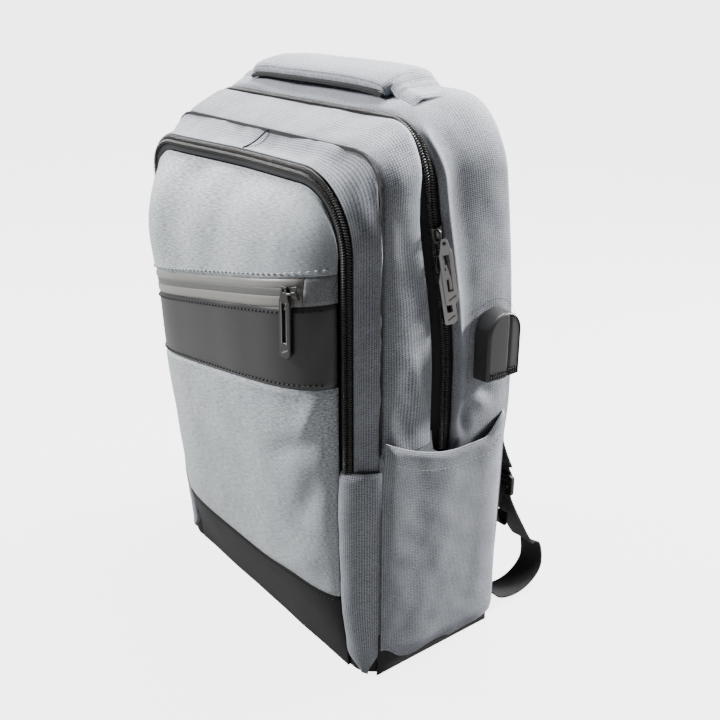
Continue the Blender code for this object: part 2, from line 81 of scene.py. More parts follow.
def mix(a, b, t):
    return a + (b - a) * t


def hump(x, centre, width):
    """A smooth bump of height 1 that fades out over width."""
    return math.exp(-((x - centre) / width) ** 2)


def main_y(z):
    return 0.0175 - 0.0225 * ease((z - 0.25) / 0.18)


def back_y(z):
    arc = 0.061 + 0.020 * math.sin(math.pi * min(1.0, max(0.0, z / 0.42)))
    foot = 0.0808 - 0.0073 * ((0.21 - z) / 0.21) ** 2 if z < 0.21 else 0.0
    return max(arc, foot)


def side_half(z):
    return 0.1482 + 0.0036 * ease((z - 0.16) / 0.06)


def panel_top(x):
    """The top edge of the front panel, inside the arch of the front zip."""
    inset = 0.008
    r = (ZIP_R if x > 0 else ZIP_R_LEFT) - inset
    flat = ZIP_HALF - inset - r
    top = ZIP_TOP - inset
    if abs(x) <= flat:
        return top
    return top - r + math.sqrt(max(0.0, r * r - (abs(x) - flat) ** 2))


def edge_y(x, z):
    foot = 0.007 * (1 - ease(z / 0.08))
    return EDGE_Y + foot - CORNER_PUSH * ease((z - 0.26) / 0.12) * ease((0.02 - x) / 0.14)


def panel_y(x, z):
    across = math.sqrt(max(0.0, 1 - abs(x / PANEL_HALF) ** 4.5))
    low = 1 - (1 - min(1.0, max(0.0, z / 0.30))) ** 2.0
    high = 1 - (1 - min(1.0, max(0.0, (panel_top(x) - z) / 0.08))) ** 2.4
    return edge_y(x, z) - (BULGE - BULGE_LEAN * x) * across * low * high


def band_low(x):
    return 0.2345 + 0.150 * x


def band_high(x):
    return 0.2940 + 0.190 * x


def zip_high(x):
    return 0.3135 + 0.200 * x


def trim_high(x):
    return 0.066 + 0.006 * ease((x - 0.02) / 0.06)


# Camera, lights and floor. The room and the floor have a brightness of their own for what the camera sees
# and for gloss.
CAMERA_SPOT = (0.6285, -0.4312, 0.5317)
CAMERA_TURN, CAMERA_TIP = math.radians(52.63), math.radians(22.34)
CAMERA_LENS = 47.52
ROOM_LIGHT, ROOM_SEEN, ROOM_GLOSS = 0.055, 4.0, 0.16
FLOOR_GREY, FLOOR_SEEN, FLOOR_GLOSS = 0.22, 4.2, 0.36
FLOOR_SIZE, FLOOR_DROP = 25.0, 0.0005


def studio():
    lens = bpy.data.cameras.new("camera")
    lens.lens = CAMERA_LENS
    lens.sensor_width = 36.0
    lens.clip_start = 0.02
    camera = bpy.data.objects.new("camera", lens)
    camera.location = CAMERA_SPOT
    turn, tip = CAMERA_TURN, CAMERA_TIP
    ahead = Vector((-math.sin(turn) * math.cos(tip), math.cos(turn) * math.cos(tip), -math.sin(tip)))
    camera.rotation_euler = ahead.to_track_quat("-Z", "Y").to_euler()
    bpy.context.scene.collection.objects.link(camera)
    bpy.context.scene.camera = camera

    def lamp(name, place, aim, size, watts):
        light = bpy.data.lights.new(name, "AREA")
        light.shape = "DISK"
        light.size = size
        light.energy = watts
        thing = bpy.data.objects.new(name, light)
        thing.location = place
        thing.rotation_euler = (Vector(aim) - Vector(place)).to_track_quat("-Z", "Y").to_euler()
        bpy.context.scene.collection.objects.link(thing)

    lamp("key", (-1.15, -1.00, 1.15), (-0.06, -0.05, 0.30), 0.50, 60)
    lamp("top", (0.02, 0.30, 1.20), (0.0, 0.05, 0.45), 0.55, 29)
    lamp("rim", (0.44, 1.38, 0.84), (0.12, 0.06, 0.34), 0.36, 64)

    world = bpy.data.worlds.new("studio")
    bpy.context.scene.world = world
    world.use_nodes = True
    tree = world.node_tree
    air = tree.nodes["Background"]
    air.inputs["Color"].default_value = (1, 1, 1, 1)
    eye = tree.nodes.new("ShaderNodeLightPath")
    level = tree.nodes.new("ShaderNodeMapRange")
    level.inputs["To Min"].default_value = ROOM_LIGHT
    level.inputs["To Max"].default_value = ROOM_SEEN
    shine = tree.nodes.new("ShaderNodeMath")
    shine.operation = "MULTIPLY_ADD"
    shine.inputs[1].default_value = ROOM_GLOSS
    tree.links.new(eye.outputs["Is Camera Ray"], level.inputs["Value"])
    tree.links.new(eye.outputs["Is Glossy Ray"], shine.inputs[0])
    tree.links.new(level.outputs["Result"], shine.inputs[2])
    tree.links.new(shine.outputs[0], air.inputs["Strength"])

    work = bmesh.new()
    bmesh.ops.create_grid(work, x_segments=1, y_segments=1, size=FLOOR_SIZE)
    data = bpy.data.meshes.new("floor")
    work.to_mesh(data)
    work.free()
    floor = bpy.data.objects.new("floor", data)
    floor.location = (0, 0, -FLOOR_DROP)
    bpy.context.scene.collection.objects.link(floor)
    pale = bpy.data.materials.new("pale floor")
    pale.use_nodes = True
    shader = pale.node_tree.nodes["Principled BSDF"]
    shader.inputs["Base Color"].default_value = (FLOOR_GREY, FLOOR_GREY, FLOOR_GREY, 1)
    shader.inputs["Roughness"].default_value = 0.9
    shader.inputs["Specular IOR Level"].default_value = 0.1
    shader.inputs["Emission Color"].default_value = (1, 1, 1, 1)
    eye = pale.node_tree.nodes.new("ShaderNodeLightPath")
    shine = pale.node_tree.nodes.new("ShaderNodeMath")
    shine.operation = "MULTIPLY"
    shine.inputs[1].default_value = FLOOR_GLOSS
    pale.node_tree.links.new(eye.outputs["Is Glossy Ray"], shine.inputs[0])
    glow = pale.node_tree.nodes.new("ShaderNodeMath")
    glow.operation = "MULTIPLY_ADD"
    glow.inputs[1].default_value = FLOOR_SEEN
    pale.node_tree.links.new(eye.outputs["Is Camera Ray"], glow.inputs[0])
    pale.node_tree.links.new(shine.outputs[0], glow.inputs[2])
    pale.node_tree.links.new(glow.outputs[0], shader.inputs["Emission Strength"])
    data.materials.append(pale)


studio()


# Shader node groups shared by the cloths.
def group(name, ins, outs):
    tree = bpy.data.node_groups.new(name, "ShaderNodeTree")
    for label, kind, value in ins:
        socket = tree.interface.new_socket(label, in_out="INPUT", socket_type="NodeSocket" + kind)
        if value is not None:
            socket.default_value = value
    for label, kind in outs:
        tree.interface.new_socket(label, in_out="OUTPUT", socket_type="NodeSocket" + kind)
    return tree, tree.nodes.new("NodeGroupInput"), tree.nodes.new("NodeGroupOutput")


def add(tree, kind, links=None, **settings):
    """A node with its settings, its socket values and its incoming links."""
    node = tree.nodes.new(kind)
    for key, value in settings.items():
        setattr(node, key, value)
    for key, value in (links or {}).items():
        socket = node.inputs[key]
        if isinstance(value, bpy.types.NodeSocket):
            tree.links.new(value, socket)
        else:
            socket.default_value = value
    return node


def maths(tree, what, a, b, clamp=False):
    return add(tree, "ShaderNodeMath", {0: a, 1: b}, operation=what, use_clamp=clamp).outputs[0]


def mixed(tree, share, first, second):
    """Two colours mixed. The colour sockets of a Mix node are 6 and 7 going in, and 2 coming out."""
    return add(tree, "ShaderNodeMix", {"Factor": share, 6: first, 7: second}, data_type="RGBA").outputs[2]


def scaled(tree, source, scale):
    return add(tree, "ShaderNodeVectorMath", {0: source, 1: scale}, operation="MULTIPLY").outputs[0]


def make_cloth_group():
    """Yarn-dyed cloth: slubs along the weft, ribs crossed by picks, a faint twill and a two-tone melange."""
    ins = [
        ("Place", "Vector", None),
        ("Light", "Color", (0.6, 0.6, 0.6, 1)),
        ("Dark", "Color", (0.3, 0.3, 0.3, 1)),
        ("Melange", "Float", 1.0),
        ("Rib", "Float", 1.0),
        ("Slub", "Float", 1.0),
    ]
    tree, start, end = group("Twill cloth", ins, [("Color", "Color"), ("Height", "Float")])
    place = start.outputs["Place"]

    def fibre(stretch, detail, **more):
        values = {"Vector": scaled(tree, place, stretch), "Scale": 1.0, "Detail": detail, **more}
        return add(tree, "ShaderNodeTexNoise", values).outputs["Fac"]

    def row(stretch, direction, distortion, detail_scale):
        values = {"Vector": scaled(tree, place, stretch), "Scale": 1.0, "Distortion": distortion}
        values.update({"Detail": 2.0, "Detail Scale": detail_scale})
        wave = add(tree, "ShaderNodeTexWave", values, wave_type="BANDS", bands_direction=direction)
        return wave.outputs["Fac"]

    weft, warp = fibre((220, 1250, 1), 2.0), fibre((1300, 500, 1), 2.0)
    broad = fibre((22, 40, 1), 3.0)
    dot = fibre((1300, 1050, 1), 1.0, Roughness=0.6)
    twill = row((300, 240, 1), "DIAGONAL", 1.0, 2.0)
    line = row((196, 60, 1), "X", 0.5, 1.5)
    pick = row((60, 230, 1), "Y", 0.7, 1.5)
    ribs = maths(tree, "ADD", maths(tree, "MULTIPLY", line, 0.26), maths(tree, "MULTIPLY", pick, 0.24))
    ribs = maths(tree, "ADD", ribs, maths(tree, "MULTIPLY", dot, 0.50))
    ribs = maths(tree, "MULTIPLY", maths(tree, "SUBTRACT", ribs, 0.50), start.outputs["Rib"])
    slub = maths(tree, "MULTIPLY", maths(tree, "SUBTRACT", weft, 0.5), start.outputs["Slub"])
    yarn = maths(tree, "ADD", maths(tree, "ADD", slub, 0.5), maths(tree, "MULTIPLY", warp, 0.3))
    yarn = maths(tree, "ADD", yarn, maths(tree, "MULTIPLY", twill, 0.09))
    yarn = maths(tree, "ADD", yarn, ribs)
    yarn = maths(tree, "ADD", yarn, maths(tree, "MULTIPLY", broad, 0.18))
    # 0.785 is the middle of the yarn's range, so that the two tones are seen in equal parts.
    level = maths(tree, "MULTIPLY", maths(tree, "SUBTRACT", yarn, 0.785), start.outputs["Melange"])
    level = maths(tree, "ADD", maths(tree, "MULTIPLY", level, 2.0), 0.5, clamp=True)
    tone = mixed(tree, level, start.outputs["Dark"], start.outputs["Light"])
    height = maths(tree, "ADD", maths(tree, "MULTIPLY", twill, 0.16), maths(tree, "MULTIPLY", yarn, 0.65))
    tree.links.new(tone, end.inputs["Color"])
    tree.links.new(height, end.inputs["Height"])
    return tree


def make_grain_group():
    """Fine pebble and slow smudges for coated cloth, rubber, plastic and metal."""
    ins = [
        ("Place", "Vector", None), ("Size", "Float", 2500.0), ("Smudge", "Float", 0.15),
        ("Roughness", "Float", 0.4),
    ]
    tree, start, end = group(
        "Grain", ins, [("Roughness", "Float"), ("Height", "Float"), ("Mask", "Float")],
    )
    place = start.outputs["Place"]
    fine = add(tree, "ShaderNodeTexVoronoi", {"Vector": place, "Scale": start.outputs["Size"]})
    slow = add(tree, "ShaderNodeTexNoise", {"Vector": place, "Scale": 28.0, "Detail": 4.0})
    swing = maths(
        tree, "MULTIPLY", maths(tree, "SUBTRACT", slow.outputs["Fac"], 0.5), start.outputs["Smudge"],
    )
    tree.links.new(
        maths(tree, "ADD", start.outputs["Roughness"], swing, clamp=True), end.inputs["Roughness"],
    )
    tree.links.new(fine.outputs["Distance"], end.inputs["Height"])
    tree.links.new(slow.outputs["Fac"], end.inputs["Mask"])
    return tree


def make_tape_group():
    """Woven tape: ribs along its length and a fine cross weave."""
    ins = [("Place", "Vector", None), ("Pitch", "Float", 900.0)]
    tree, start, end = group("Woven tape", ins, [("Shade", "Float"), ("Height", "Float")])
    place = start.outputs["Place"]
    across = add(
        tree, "ShaderNodeTexWave",
        {"Vector": place, "Scale": start.outputs["Pitch"], "Distortion": 0.4}, bands_direction="Y",
    )
    down = add(
        tree, "ShaderNodeTexWave", {"Vector": place, "Scale": 260.0, "Distortion": 0.8},
        bands_direction="X",
    )
    total = maths(
        tree, "ADD", maths(tree, "MULTIPLY", across.outputs["Fac"], 0.6),
        maths(tree, "MULTIPLY", down.outputs["Fac"], 0.4),
    )
    tree.links.new(total, end.inputs["Shade"])
    tree.links.new(total, end.inputs["Height"])
    return tree


CLOTH, GRAIN, TAPE = make_cloth_group(), make_grain_group(), make_tape_group()


def surface(name, roughness, metallic=0.0, sheen=0.0, specular=0.5):
    material = bpy.data.materials.new(name)
    material.use_nodes = True
    tree = material.node_tree
    shader = tree.nodes["Principled BSDF"]
    shader.inputs["Roughness"].default_value = roughness
    shader.inputs["Metallic"].default_value = metallic
    shader.inputs["Sheen Weight"].default_value = sheen
    shader.inputs["Sheen Roughness"].default_value = 0.45
    shader.inputs["Specular IOR Level"].default_value = specular
    return material, tree, shader


def bump(tree, shader, height, distance):
    node = add(tree, "ShaderNodeBump", {"Height": height, "Distance": distance, "Strength": 1.0})
    tree.links.new(node.outputs["Normal"], shader.inputs["Normal"])


def placed(material):
    """A pattern's place comes from the piece's own UV map, in metres."""
    return add(material.node_tree, "ShaderNodeUVMap", uv_map="cloth").outputs["UV"]


def cloth_material(name, light, dark, melange=1.0, rib=0.0, slub=0.4, depth=0.00012, turn=0.0):
    material, tree, shader = surface(name, 0.86, sheen=0.12, specular=0.25)
    source = placed(material)
    if turn:
        source = add(tree, "ShaderNodeMapping", {"Vector": source, "Rotation": (0, 0, turn)}).outputs[0]
    weave = add(tree, "ShaderNodeGroup", node_tree=CLOTH)
    tree.links.new(source, weave.inputs["Place"])
    weave.inputs["Light"].default_value = (*light, 1)
    weave.inputs["Dark"].default_value = (*dark, 1)
    weave.inputs["Melange"].default_value = melange
    weave.inputs["Rib"].default_value = rib
    weave.inputs["Slub"].default_value = slub
    tree.links.new(weave.outputs["Color"], shader.inputs["Base Color"])
    bump(tree, shader, weave.outputs["Height"], depth)
    return material


def coated_material(
    name, colour, roughness, size, smudge=0.18, depth=0.00003, metallic=0.0, specular=0.5, uv=False,
):
    material, tree, shader = surface(name, roughness, metallic, specular=specular)
    source = placed(material) if uv else add(tree, "ShaderNodeTexCoord").outputs["Object"]
    grain = add(tree, "ShaderNodeGroup", node_tree=GRAIN)
    tree.links.new(source, grain.inputs["Place"])
    grain.inputs["Size"].default_value = size
    grain.inputs["Smudge"].default_value = smudge
    grain.inputs["Roughness"].default_value = roughness
    tree.links.new(grain.outputs["Roughness"], shader.inputs["Roughness"])
    deep, light = (*[c * 0.86 for c in colour], 1), (*[min(1, c * 1.14) for c in colour], 1)
    tree.links.new(mixed(tree, grain.outputs["Mask"], deep, light), shader.inputs["Base Color"])
    bump(tree, shader, grain.outputs["Height"], depth)
    return material


def tape_material(name, colour, pale, roughness=0.7, pitch=900.0, depth=0.0001):
    material, tree, shader = surface(name, roughness, sheen=0.08, specular=0.3)
    tape = add(tree, "ShaderNodeGroup", node_tree=TAPE)
    tree.links.new(placed(material), tape.inputs["Place"])
    tape.inputs["Pitch"].default_value = pitch
    shade = mixed(tree, tape.outputs["Shade"], (*colour, 1), (*pale, 1))
    tree.links.new(shade, shader.inputs["Base Color"])
    bump(tree, shader, tape.outputs["Height"], depth)
    return material


FRONT = cloth_material(
    "heathered front cloth", (0.77, 0.825, 0.855), (0.275, 0.30, 0.33), slub=1.1, depth=0.00006,
)
SIDE_TONES = ((0.535, 0.56, 0.61), (0.135, 0.146, 0.170))
SIDE = cloth_material("grey twill cloth", *SIDE_TONES, melange=1.15, rib=1.0)
SIDE_ALONG = cloth_material(
    "grey twill cloth cut along", *SIDE_TONES, melange=1.15, rib=1.0, turn=math.pi / 2,
)
PATCH = cloth_material(
    "coarse twill patch", (0.48, 0.50, 0.52), (0.15, 0.16, 0.17), melange=1.1, rib=0.6, turn=0.8,
)
LINING = cloth_material("black lining", (0.040, 0.040, 0.044), (0.012, 0.012, 0.013), rib=0.5)
MESH = cloth_material(
    "spacer mesh", (0.075, 0.075, 0.08), (0.010, 0.010, 0.011), melange=1.6, rib=1.0, depth=0.0004,
)
PU = coated_material("black coated cloth", (0.024, 0.024, 0.025), 0.36, size=1600.0, smudge=0.10, uv=True)
TRIM = coated_material(
    "black trim cloth", (0.009, 0.009, 0.010), 0.50, size=1600.0, smudge=0.10, specular=0.22, uv=True,
)
BASE = coated_material("base cloth", (0.014, 0.014, 0.015), 0.55, size=1100.0, depth=0.0001)
TAPE_BLACK = tape_material("zip tape", (0.006, 0.006, 0.007), (0.018, 0.018, 0.019))
TAPE_SMOOTH = coated_material(
    "smooth zip edge", (0.011, 0.011, 0.012), 0.42, size=900.0, smudge=0.15, uv=True,
)
COIL = coated_material("zip coil", (0.11, 0.108, 0.105), 0.26, size=600.0, depth=0.00002)
TAUPE = coated_material("taupe coated tape", (0.27, 0.265, 0.245), 0.34, size=900.0, smudge=0.2, uv=True)
TAUPE_COIL = tape_material(
    "taupe coil", (0.075, 0.075, 0.073), (0.20, 0.20, 0.195), roughness=0.4, pitch=420.0, depth=0.0002,
)
RUBBER = coated_material("hood rubber", (0.050, 0.050, 0.051), 0.42, size=1800.0, smudge=0.10)
METAL = coated_material(
    "gun-metal", (0.25, 0.245, 0.24), 0.34, size=500.0, smudge=0.12, depth=0.00001, metallic=0.95,
)
METAL_DARK = coated_material("dark slider metal", (0.085, 0.083, 0.081), 0.34, size=500.0, metallic=0.9)
PLASTIC = coated_material("buckle plastic", (0.018, 0.018, 0.019), 0.36, size=1500.0)
WEBBING = tape_material(
    "webbing", (0.006, 0.006, 0.007), (0.022, 0.022, 0.024), pitch=700.0, depth=0.00025,
)
# The seam cord fills the gap in the valley between the front gusset and the middle gusset; its grey, darker
# than the cloth, is partly painted shade of that valley.
SEAM_CORD_SHADE = coated_material("seam cord with painted valley shade", (0.12, 0.124, 0.135), 0.8, size=900.0)
THREAD_PALE = coated_material("pale thread", (0.60, 0.61, 0.62), 0.7, size=800.0)
THREAD_GREY = coated_material("grey thread", (0.34, 0.35, 0.37), 0.7, size=800.0)
THREAD_DARK = coated_material("dark thread", (0.008, 0.008, 0.009), 0.55, size=800.0)


# Cloth pieces: a flat grid is laid over a shape, rolled in at its sewn edges and given its folds.
def finish_piece(name, work, material, smooth=True):
    data = bpy.data.meshes.new(name)
    for face in work.faces:
        face.smooth = smooth
    work.to_mesh(data)
    work.free()
    data.materials.append(material)
    thing = bpy.data.objects.new(name, data)
    bpy.context.scene.collection.objects.link(thing)
    return thing


def settle(thing, body, nodes=(), bend=None):
    """Hangs the piece on the empty of its body and hides the solids that it stands for. With bend, the piece
    is only baked in place and hangs on no body.
    """
    if bend:
        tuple(bend[2])
        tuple(bend[3])
        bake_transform(thing)
    else:
        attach(thing, body)
    if nodes:
        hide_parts(*nodes)
    return thing


def run_length(point, steps=20):
    """The length of the way that point(share) takes."""
    spots = [Vector(point(i / steps)) for i in range(steps + 1)]
    return sum((b - a).length for a, b in zip(spots, spots[1:]))


def cloth(
    name, cols, rows, place, material, folds=None, roll=(1, 1, 1, 1), depth=0.0010, reach=0.004,
    thick=CLOTH_THICK, outward=None,
):
    """A sheet of cloth. place(u, t) gives its surface, with u and t from 0 to 1.

    roll marks the sewn edges, which sink by depth over reach: u low, u high, t low and t high.
    folds(p, u, t) adds height. outward is the way the sheet faces, where that isn't away from HEART.
    """
    work = bmesh.new()
    work.loops.layers.uv.new("cloth")
    bmesh.ops.create_grid(work, x_segments=cols, y_segments=rows, size=0.5, calc_uvs=True)
    spot = {v: (v.co.x + 0.5, v.co.y + 0.5) for v in work.verts}
    for v, (u, t) in spot.items():
        v.co = place(u, t)
    across = run_length(lambda share: place(share, 0.5))
    up = run_length(lambda share: place(0.5, share))
    layer = work.loops.layers.uv.active
    for face in work.faces:
        for loop in face.loops:
            u, t = spot[loop.vert]
            loop[layer].uv = (u * across, t * up)
    work.normal_update()
    if outward is None:
        facing = sum(f.normal.dot(f.calc_center_median() - HEART) for f in work.faces)
    else:
        facing = sum(f.normal.dot(Vector(outward)) for f in work.faces)
    if facing < 0:
        bmesh.ops.reverse_faces(work, faces=work.faces)
        work.normal_update()
    lift = {}
    for v, (u, t) in spot.items():
        near = [u * across, (1 - u) * across, t * up, (1 - t) * up]
        gap = min([d for d, on in zip(near, roll) if on] or [1.0])
        sink = depth * (1 - ease(gap / reach)) ** 1.5
        extra = folds(v.co, u, t) * ease(gap / (2 * reach)) if folds else 0.0
        lift[v] = v.normal * (extra - sink)
    for v, move in lift.items():
        v.co += move
    bmesh.ops.solidify(work, geom=list(work.faces), thickness=thick)
    thing = finish_piece(name, work, material)
    thing.data.set_sharp_from_angle(angle=math.radians(50))
    return thing


def ripple(p, size, amount, seed=0.0, stretch=(1, 1, 1)):
    """Soft unevenness: size in metres, amount in metres."""
    at = Vector((p[0] * stretch[0], p[1] * stretch[1], p[2] * stretch[2])) / size
    return amount * noise.noise(at + Vector((seed, seed * 1.7, -seed)))


def creased(p, soft, creases):
    """soft with each crease of a list added: from, to, width and height."""
    for fold in creases:
        soft += crease(p, *fold)
    return soft


def crease(p, a, b, width, amount):
    """A fold along the line from a to b: a ridge if amount is above 0, else a groove."""
    a, b, p = Vector(a), Vector(b), Vector(p)
    line = b - a
    share = min(1.0, max(0.0, (p - a).dot(line) / line.length_squared))
    gap = (p - (a + line * share)).length
    fade = math.sin(math.pi * min(1.0, max(0.0, 0.08 + 0.84 * share)))
    return amount * fade * math.exp(-((gap / width) ** 2))


# Arched rails.
def arch_at(s, half, top, r, depth, low, left=None):
    """The point at share s of the way up the right side, over the top and down the left."""
    left = r if left is None else left
    runs = [top - r - low, math.pi / 2 * r, 2 * half - r - left, math.pi / 2 * left, top - left - low]
    way = s * sum(runs)
    k = 0
    while k < 4 and way > runs[k]:
        way -= runs[k]
        k += 1
    if k == 0:
        x, z = half, low + way
    elif k == 1:
        a = way / r
        x, z = half - r + r * math.cos(a), top - r + r * math.sin(a)
    elif k == 2:
        x, z = half - r - way, top
    elif k == 3:
        a = math.pi / 2 + way / left
        x, z = left - half + left * math.cos(a), top - left + left * math.sin(a)
    else:
        x, z = -half, top - left - way
    return Vector((x, depth(x, z), z))


def front_rail(s, offset, back):
    return arch_at(
        s, ZIP_HALF + offset, ZIP_TOP + offset, ZIP_R + offset,
        lambda x, z: edge_y(x, z) + back, FRONT_ZIP_LOW, ZIP_R_LEFT + offset,
    )


def seam_rail(s, shrink, back, low=FOLD_Z):
    return arch_at(
        s, SEAM_HALF - shrink, SEAM_TOP - shrink, SEAM_R - shrink, lambda x, z: SEAM_Y + back, low,
    )


def mid_rail(s, shrink):
    def depth(x, z):
        lap = 0.0070 + 0.0085 * ease((z - 0.36) / 0.07)
        return main_y(z) - 0.0172 + lap

    return arch_at(s, SEAM_HALF - shrink, MID_TOP - shrink, MID_R - shrink, depth, FOLD_Z)


def main_rail(s, out, back):
    return arch_at(
        s, MAIN_HALF + out, MAIN_TOP + out, MAIN_R + out, lambda x, z: main_y(z) + back, ZIP_LOW,
    )


def smooth_through(points, t):
    """A smooth curve through evenly spaced points."""
    last = len(points) - 1
    k = min(last - 1, int(t * last))
    f = t * last - k
    a, b = points[k], points[k + 1]
    before = points[k - 1] if k > 0 else a * 2 - b
    after = points[k + 2] if k + 2 <= last else b * 2 - a
    return 0.5 * (
        2 * a + (b - before) * f + (2 * before - 5 * a + 4 * b - after) * f * f
        + (3 * a - before - 3 * b + after) * f ** 3
    )


def resample(points, step):
    """Points evenly spaced along a path, with the direction of travel."""
    marks, travelled = [0.0], 0.0
    for a, b in zip(points, points[1:]):
        travelled += (b - a).length
        marks.append(travelled)
    count = max(1, int(travelled / step))
    spots, k = [], 0
    for i in range(count + 1):
        want = travelled * i / count
        while k < len(points) - 2 and marks[k + 1] < want:
            k += 1
        share = (want - marks[k]) / max(1e-9, marks[k + 1] - marks[k])
        ahead = (points[k + 1] - points[k]).normalized()
        spots.append((points[k].lerp(points[k + 1], share), ahead))
    return spots


def frame_at(place, ahead, out):
    """A matrix whose x runs ahead and whose z points out."""
    across = Vector(out).cross(ahead).normalized()
    up = Vector(ahead).cross(across).normalized()
    turn = Matrix((Vector(ahead), across, up)).transposed().to_4x4()
    return Matrix.Translation(place) @ turn


def stitches(
    name, points, outs, material, body, length=0.0026, gap=0.0012, fat=0.0005, bend=None,
    lift=0.0001,
):
    """A row of thread stitches along a path. outs gives the outward direction at a point."""
    work = bmesh.new()
    for place, ahead in resample(points, length + gap):
        out = Vector(outs(place)).normalized()
        at = frame_at(place + out * lift, ahead, out)
        made = bmesh.ops.create_icosphere(work, subdivisions=1, radius=1.0)
        shape = Matrix.Diagonal((length / 2, fat * 0.75, fat * 0.6, 1))
        bmesh.ops.transform(work, matrix=at @ shape, verts=made["verts"])
    return settle(finish_piece(name, work, material), body, bend=bend)


FLAP_BEND = ("front_section", "front_flap", (0, 0, FOLD_Z), (0, 0, FOLD_TOP))
LOW_BEND = ("pack", "front_section", (0, 0, FOLD_LOW), (0, 0, FOLD_Z))


# Front panels.
def front_spot(low, high, start=-PANEL_HALF, stop=PANEL_HALF):
    """A strip of the front between two heights. Over the whole width its columns crowd towards the edges."""
    whole = stop - start > PANEL_HALF

    def place(u, t):
        x = mix(start, stop, 0.5 - 0.5 * math.cos(math.pi * u) if whole else u)
        z = mix(low(x), high(x), t)
        return Vector((x, panel_y(x, z), z))
    return place


FRONT_CREASES = (
    ((0.120, -0.07, 0.215), (0.060, -0.10, 0.180), 0.010, -0.0026),
    ((0.121, -0.07, 0.262), (0.100, -0.09, 0.205), 0.007, 0.0022),
    ((0.119, -0.07, 0.190), (0.085, -0.09, 0.120), 0.011, -0.0024),
    ((0.118, -0.075, 0.110), (0.070, -0.09, 0.080), 0.012, 0.0016),
)


def front_folds(p, u, t):
    x, _, z = p
    soft = ripple(p, 0.050, 0.0024, 3.0, (1.0, 1.0, 0.30)) + ripple(p, 0.018, 0.0006, 9.0, (1, 1, 0.5))
    soft += 0.0022 * math.sin((x + 0.03) * 95.0) * ease((-x + 0.05) / 0.12) * ease((z - 0.30) / 0.05)
    return creased(p, soft, FRONT_CREASES)


COLS = 110
lower = cloth(
    "front_lower_cloth", COLS, 64, front_spot(trim_high, lambda x: FOLD_Z), FRONT, front_folds,
    (1, 1, 1, 0),
)
settle(lower, None, ["front_panel_lower"], LOW_BEND)
fold = cloth(
    "flap_fold_cloth", COLS, 24, front_spot(lambda x: FOLD_Z, band_low), FRONT, front_folds,
    (1, 1, 0, 1),
)
settle(fold, None, ["flap_lower"], FLAP_BEND)
upper = cloth(
    "flap_upper_cloth", COLS, 60, front_spot(zip_high, panel_top), FRONT, front_folds, depth=0.0016,
)
settle(upper, "front_flap", ["flap_upper"])


def band_folds(p, u, t):
    soft = ripple(p, 0.060, 0.0012, 5.0, (1.3, 1.0, 0.25))
    return soft + crease(p, (0.118, -0.07, 0.30), (0.112, -0.08, 0.25), 0.006, -0.0012)


band = cloth(
    "coated_band", COLS, 26, front_spot(band_low, band_high), PU, band_folds, depth=0.0014, reach=0.003,
    thick=0.0020,
)
settle(band, None, ["pu_band"], FLAP_BEND)
trim = cloth(
    "bottom_coated_trim", COLS, 26, front_spot(lambda x: ABOVE_FLOOR, trim_high), TRIM, band_folds,
    (1, 1, 0, 1), 0.0012, 0.003,
)
settle(trim, "pack", ["bottom_trim"])
patch = cloth(
    "twill_patch_cloth", 16, 14, front_spot(band_high, zip_high, PATCH_X, PANEL_HALF), PATCH,
    depth=0.0010, reach=0.0025,
)
settle(patch, "front_flap", ["twill_patch"])


# Slanted pocket zip: two coated lips over a ribbed centre.
def pocket_strip(low_share, high_share, proud):
    def place(u, t):
        x = mix(-PANEL_HALF, PATCH_X - 0.0003, u)
        share = mix(low_share, high_share, t)
        z = mix(band_high(x), zip_high(x), share)
        return Vector((x, panel_y(x, z) - proud, z))
    return place


strip = cloth(
    "pocket_zip_lip_low", 90, 6, pocket_strip(0.0, 0.40, 0.0), TAUPE, depth=0.0008, reach=0.002,
    thick=TAPE_THICK,
)
settle(strip, "front_flap", ["pocket_zip_tape"])
strip = cloth(
    "pocket_zip_lip_high", 90, 6, pocket_strip(0.68, 1.0, 0.0), TAUPE, depth=0.0008, reach=0.002,
    thick=TAPE_THICK,
)
settle(strip, "front_flap")
strip = cloth(
    "pocket_zip_centre", 90, 6, pocket_strip(0.38, 0.70, -0.0006), TAUPE_COIL, depth=0.0002,
    reach=0.001, thick=TAPE_THICK,
)
settle(strip, "front_flap")


def on_panel(x, z):
    return Vector((x, panel_y(x, z) - 0.0002, z))


def panel_out(p):
    x, z, h = p.x, p.z, 0.002
    dx = (panel_y(x + h, z) - panel_y(x - h, z)) / (2 * h)
    dz = (panel_y(x, z + h) - panel_y(x, z - h)) / (2 * h)
    return Vector((dx, -1.0, dz))


def panel_line(height, reach=0.118, steps=60):
    """Points across the front at the height that height(x) gives."""
    across = [mix(-reach, reach, i / steps) for i in range(steps + 1)]
    return [on_panel(x, height(x)) for x in across]


stitches(
    "flap_hem_stitches", panel_line(lambda x: zip_high(x) + 0.0042), panel_out, THREAD_PALE,
    "front_flap", length=0.0036, gap=0.0022, fat=0.0010, lift=0.0004,
)
stitches(
    "band_top_stitches", panel_line(lambda x: band_high(x) - 0.0038), panel_out, THREAD_DARK,
    "front_flap", length=0.0030, gap=0.0016, fat=0.0011, lift=0.0003,
)
stitches(
    "band_low_stitches", panel_line(lambda x: band_low(x) + 0.0038), panel_out, THREAD_DARK, None,
    length=0.0030, gap=0.0016, fat=0.0011, bend=FLAP_BEND, lift=0.0003,
)
stitches(
    "trim_stitches", panel_line(lambda x: trim_high(x) - 0.0035), panel_out, THREAD_DARK, "pack",
)


# Front zip.
def tape_between(rail_a, rail_b, crown=0.0):
    def place(u, t):
        a, b = rail_a(u), rail_b(u)
        at = a.lerp(b, t)
        if crown:
            at += (at - HEART).normalized() * crown * math.sin(math.pi * t)
        return at
    return place


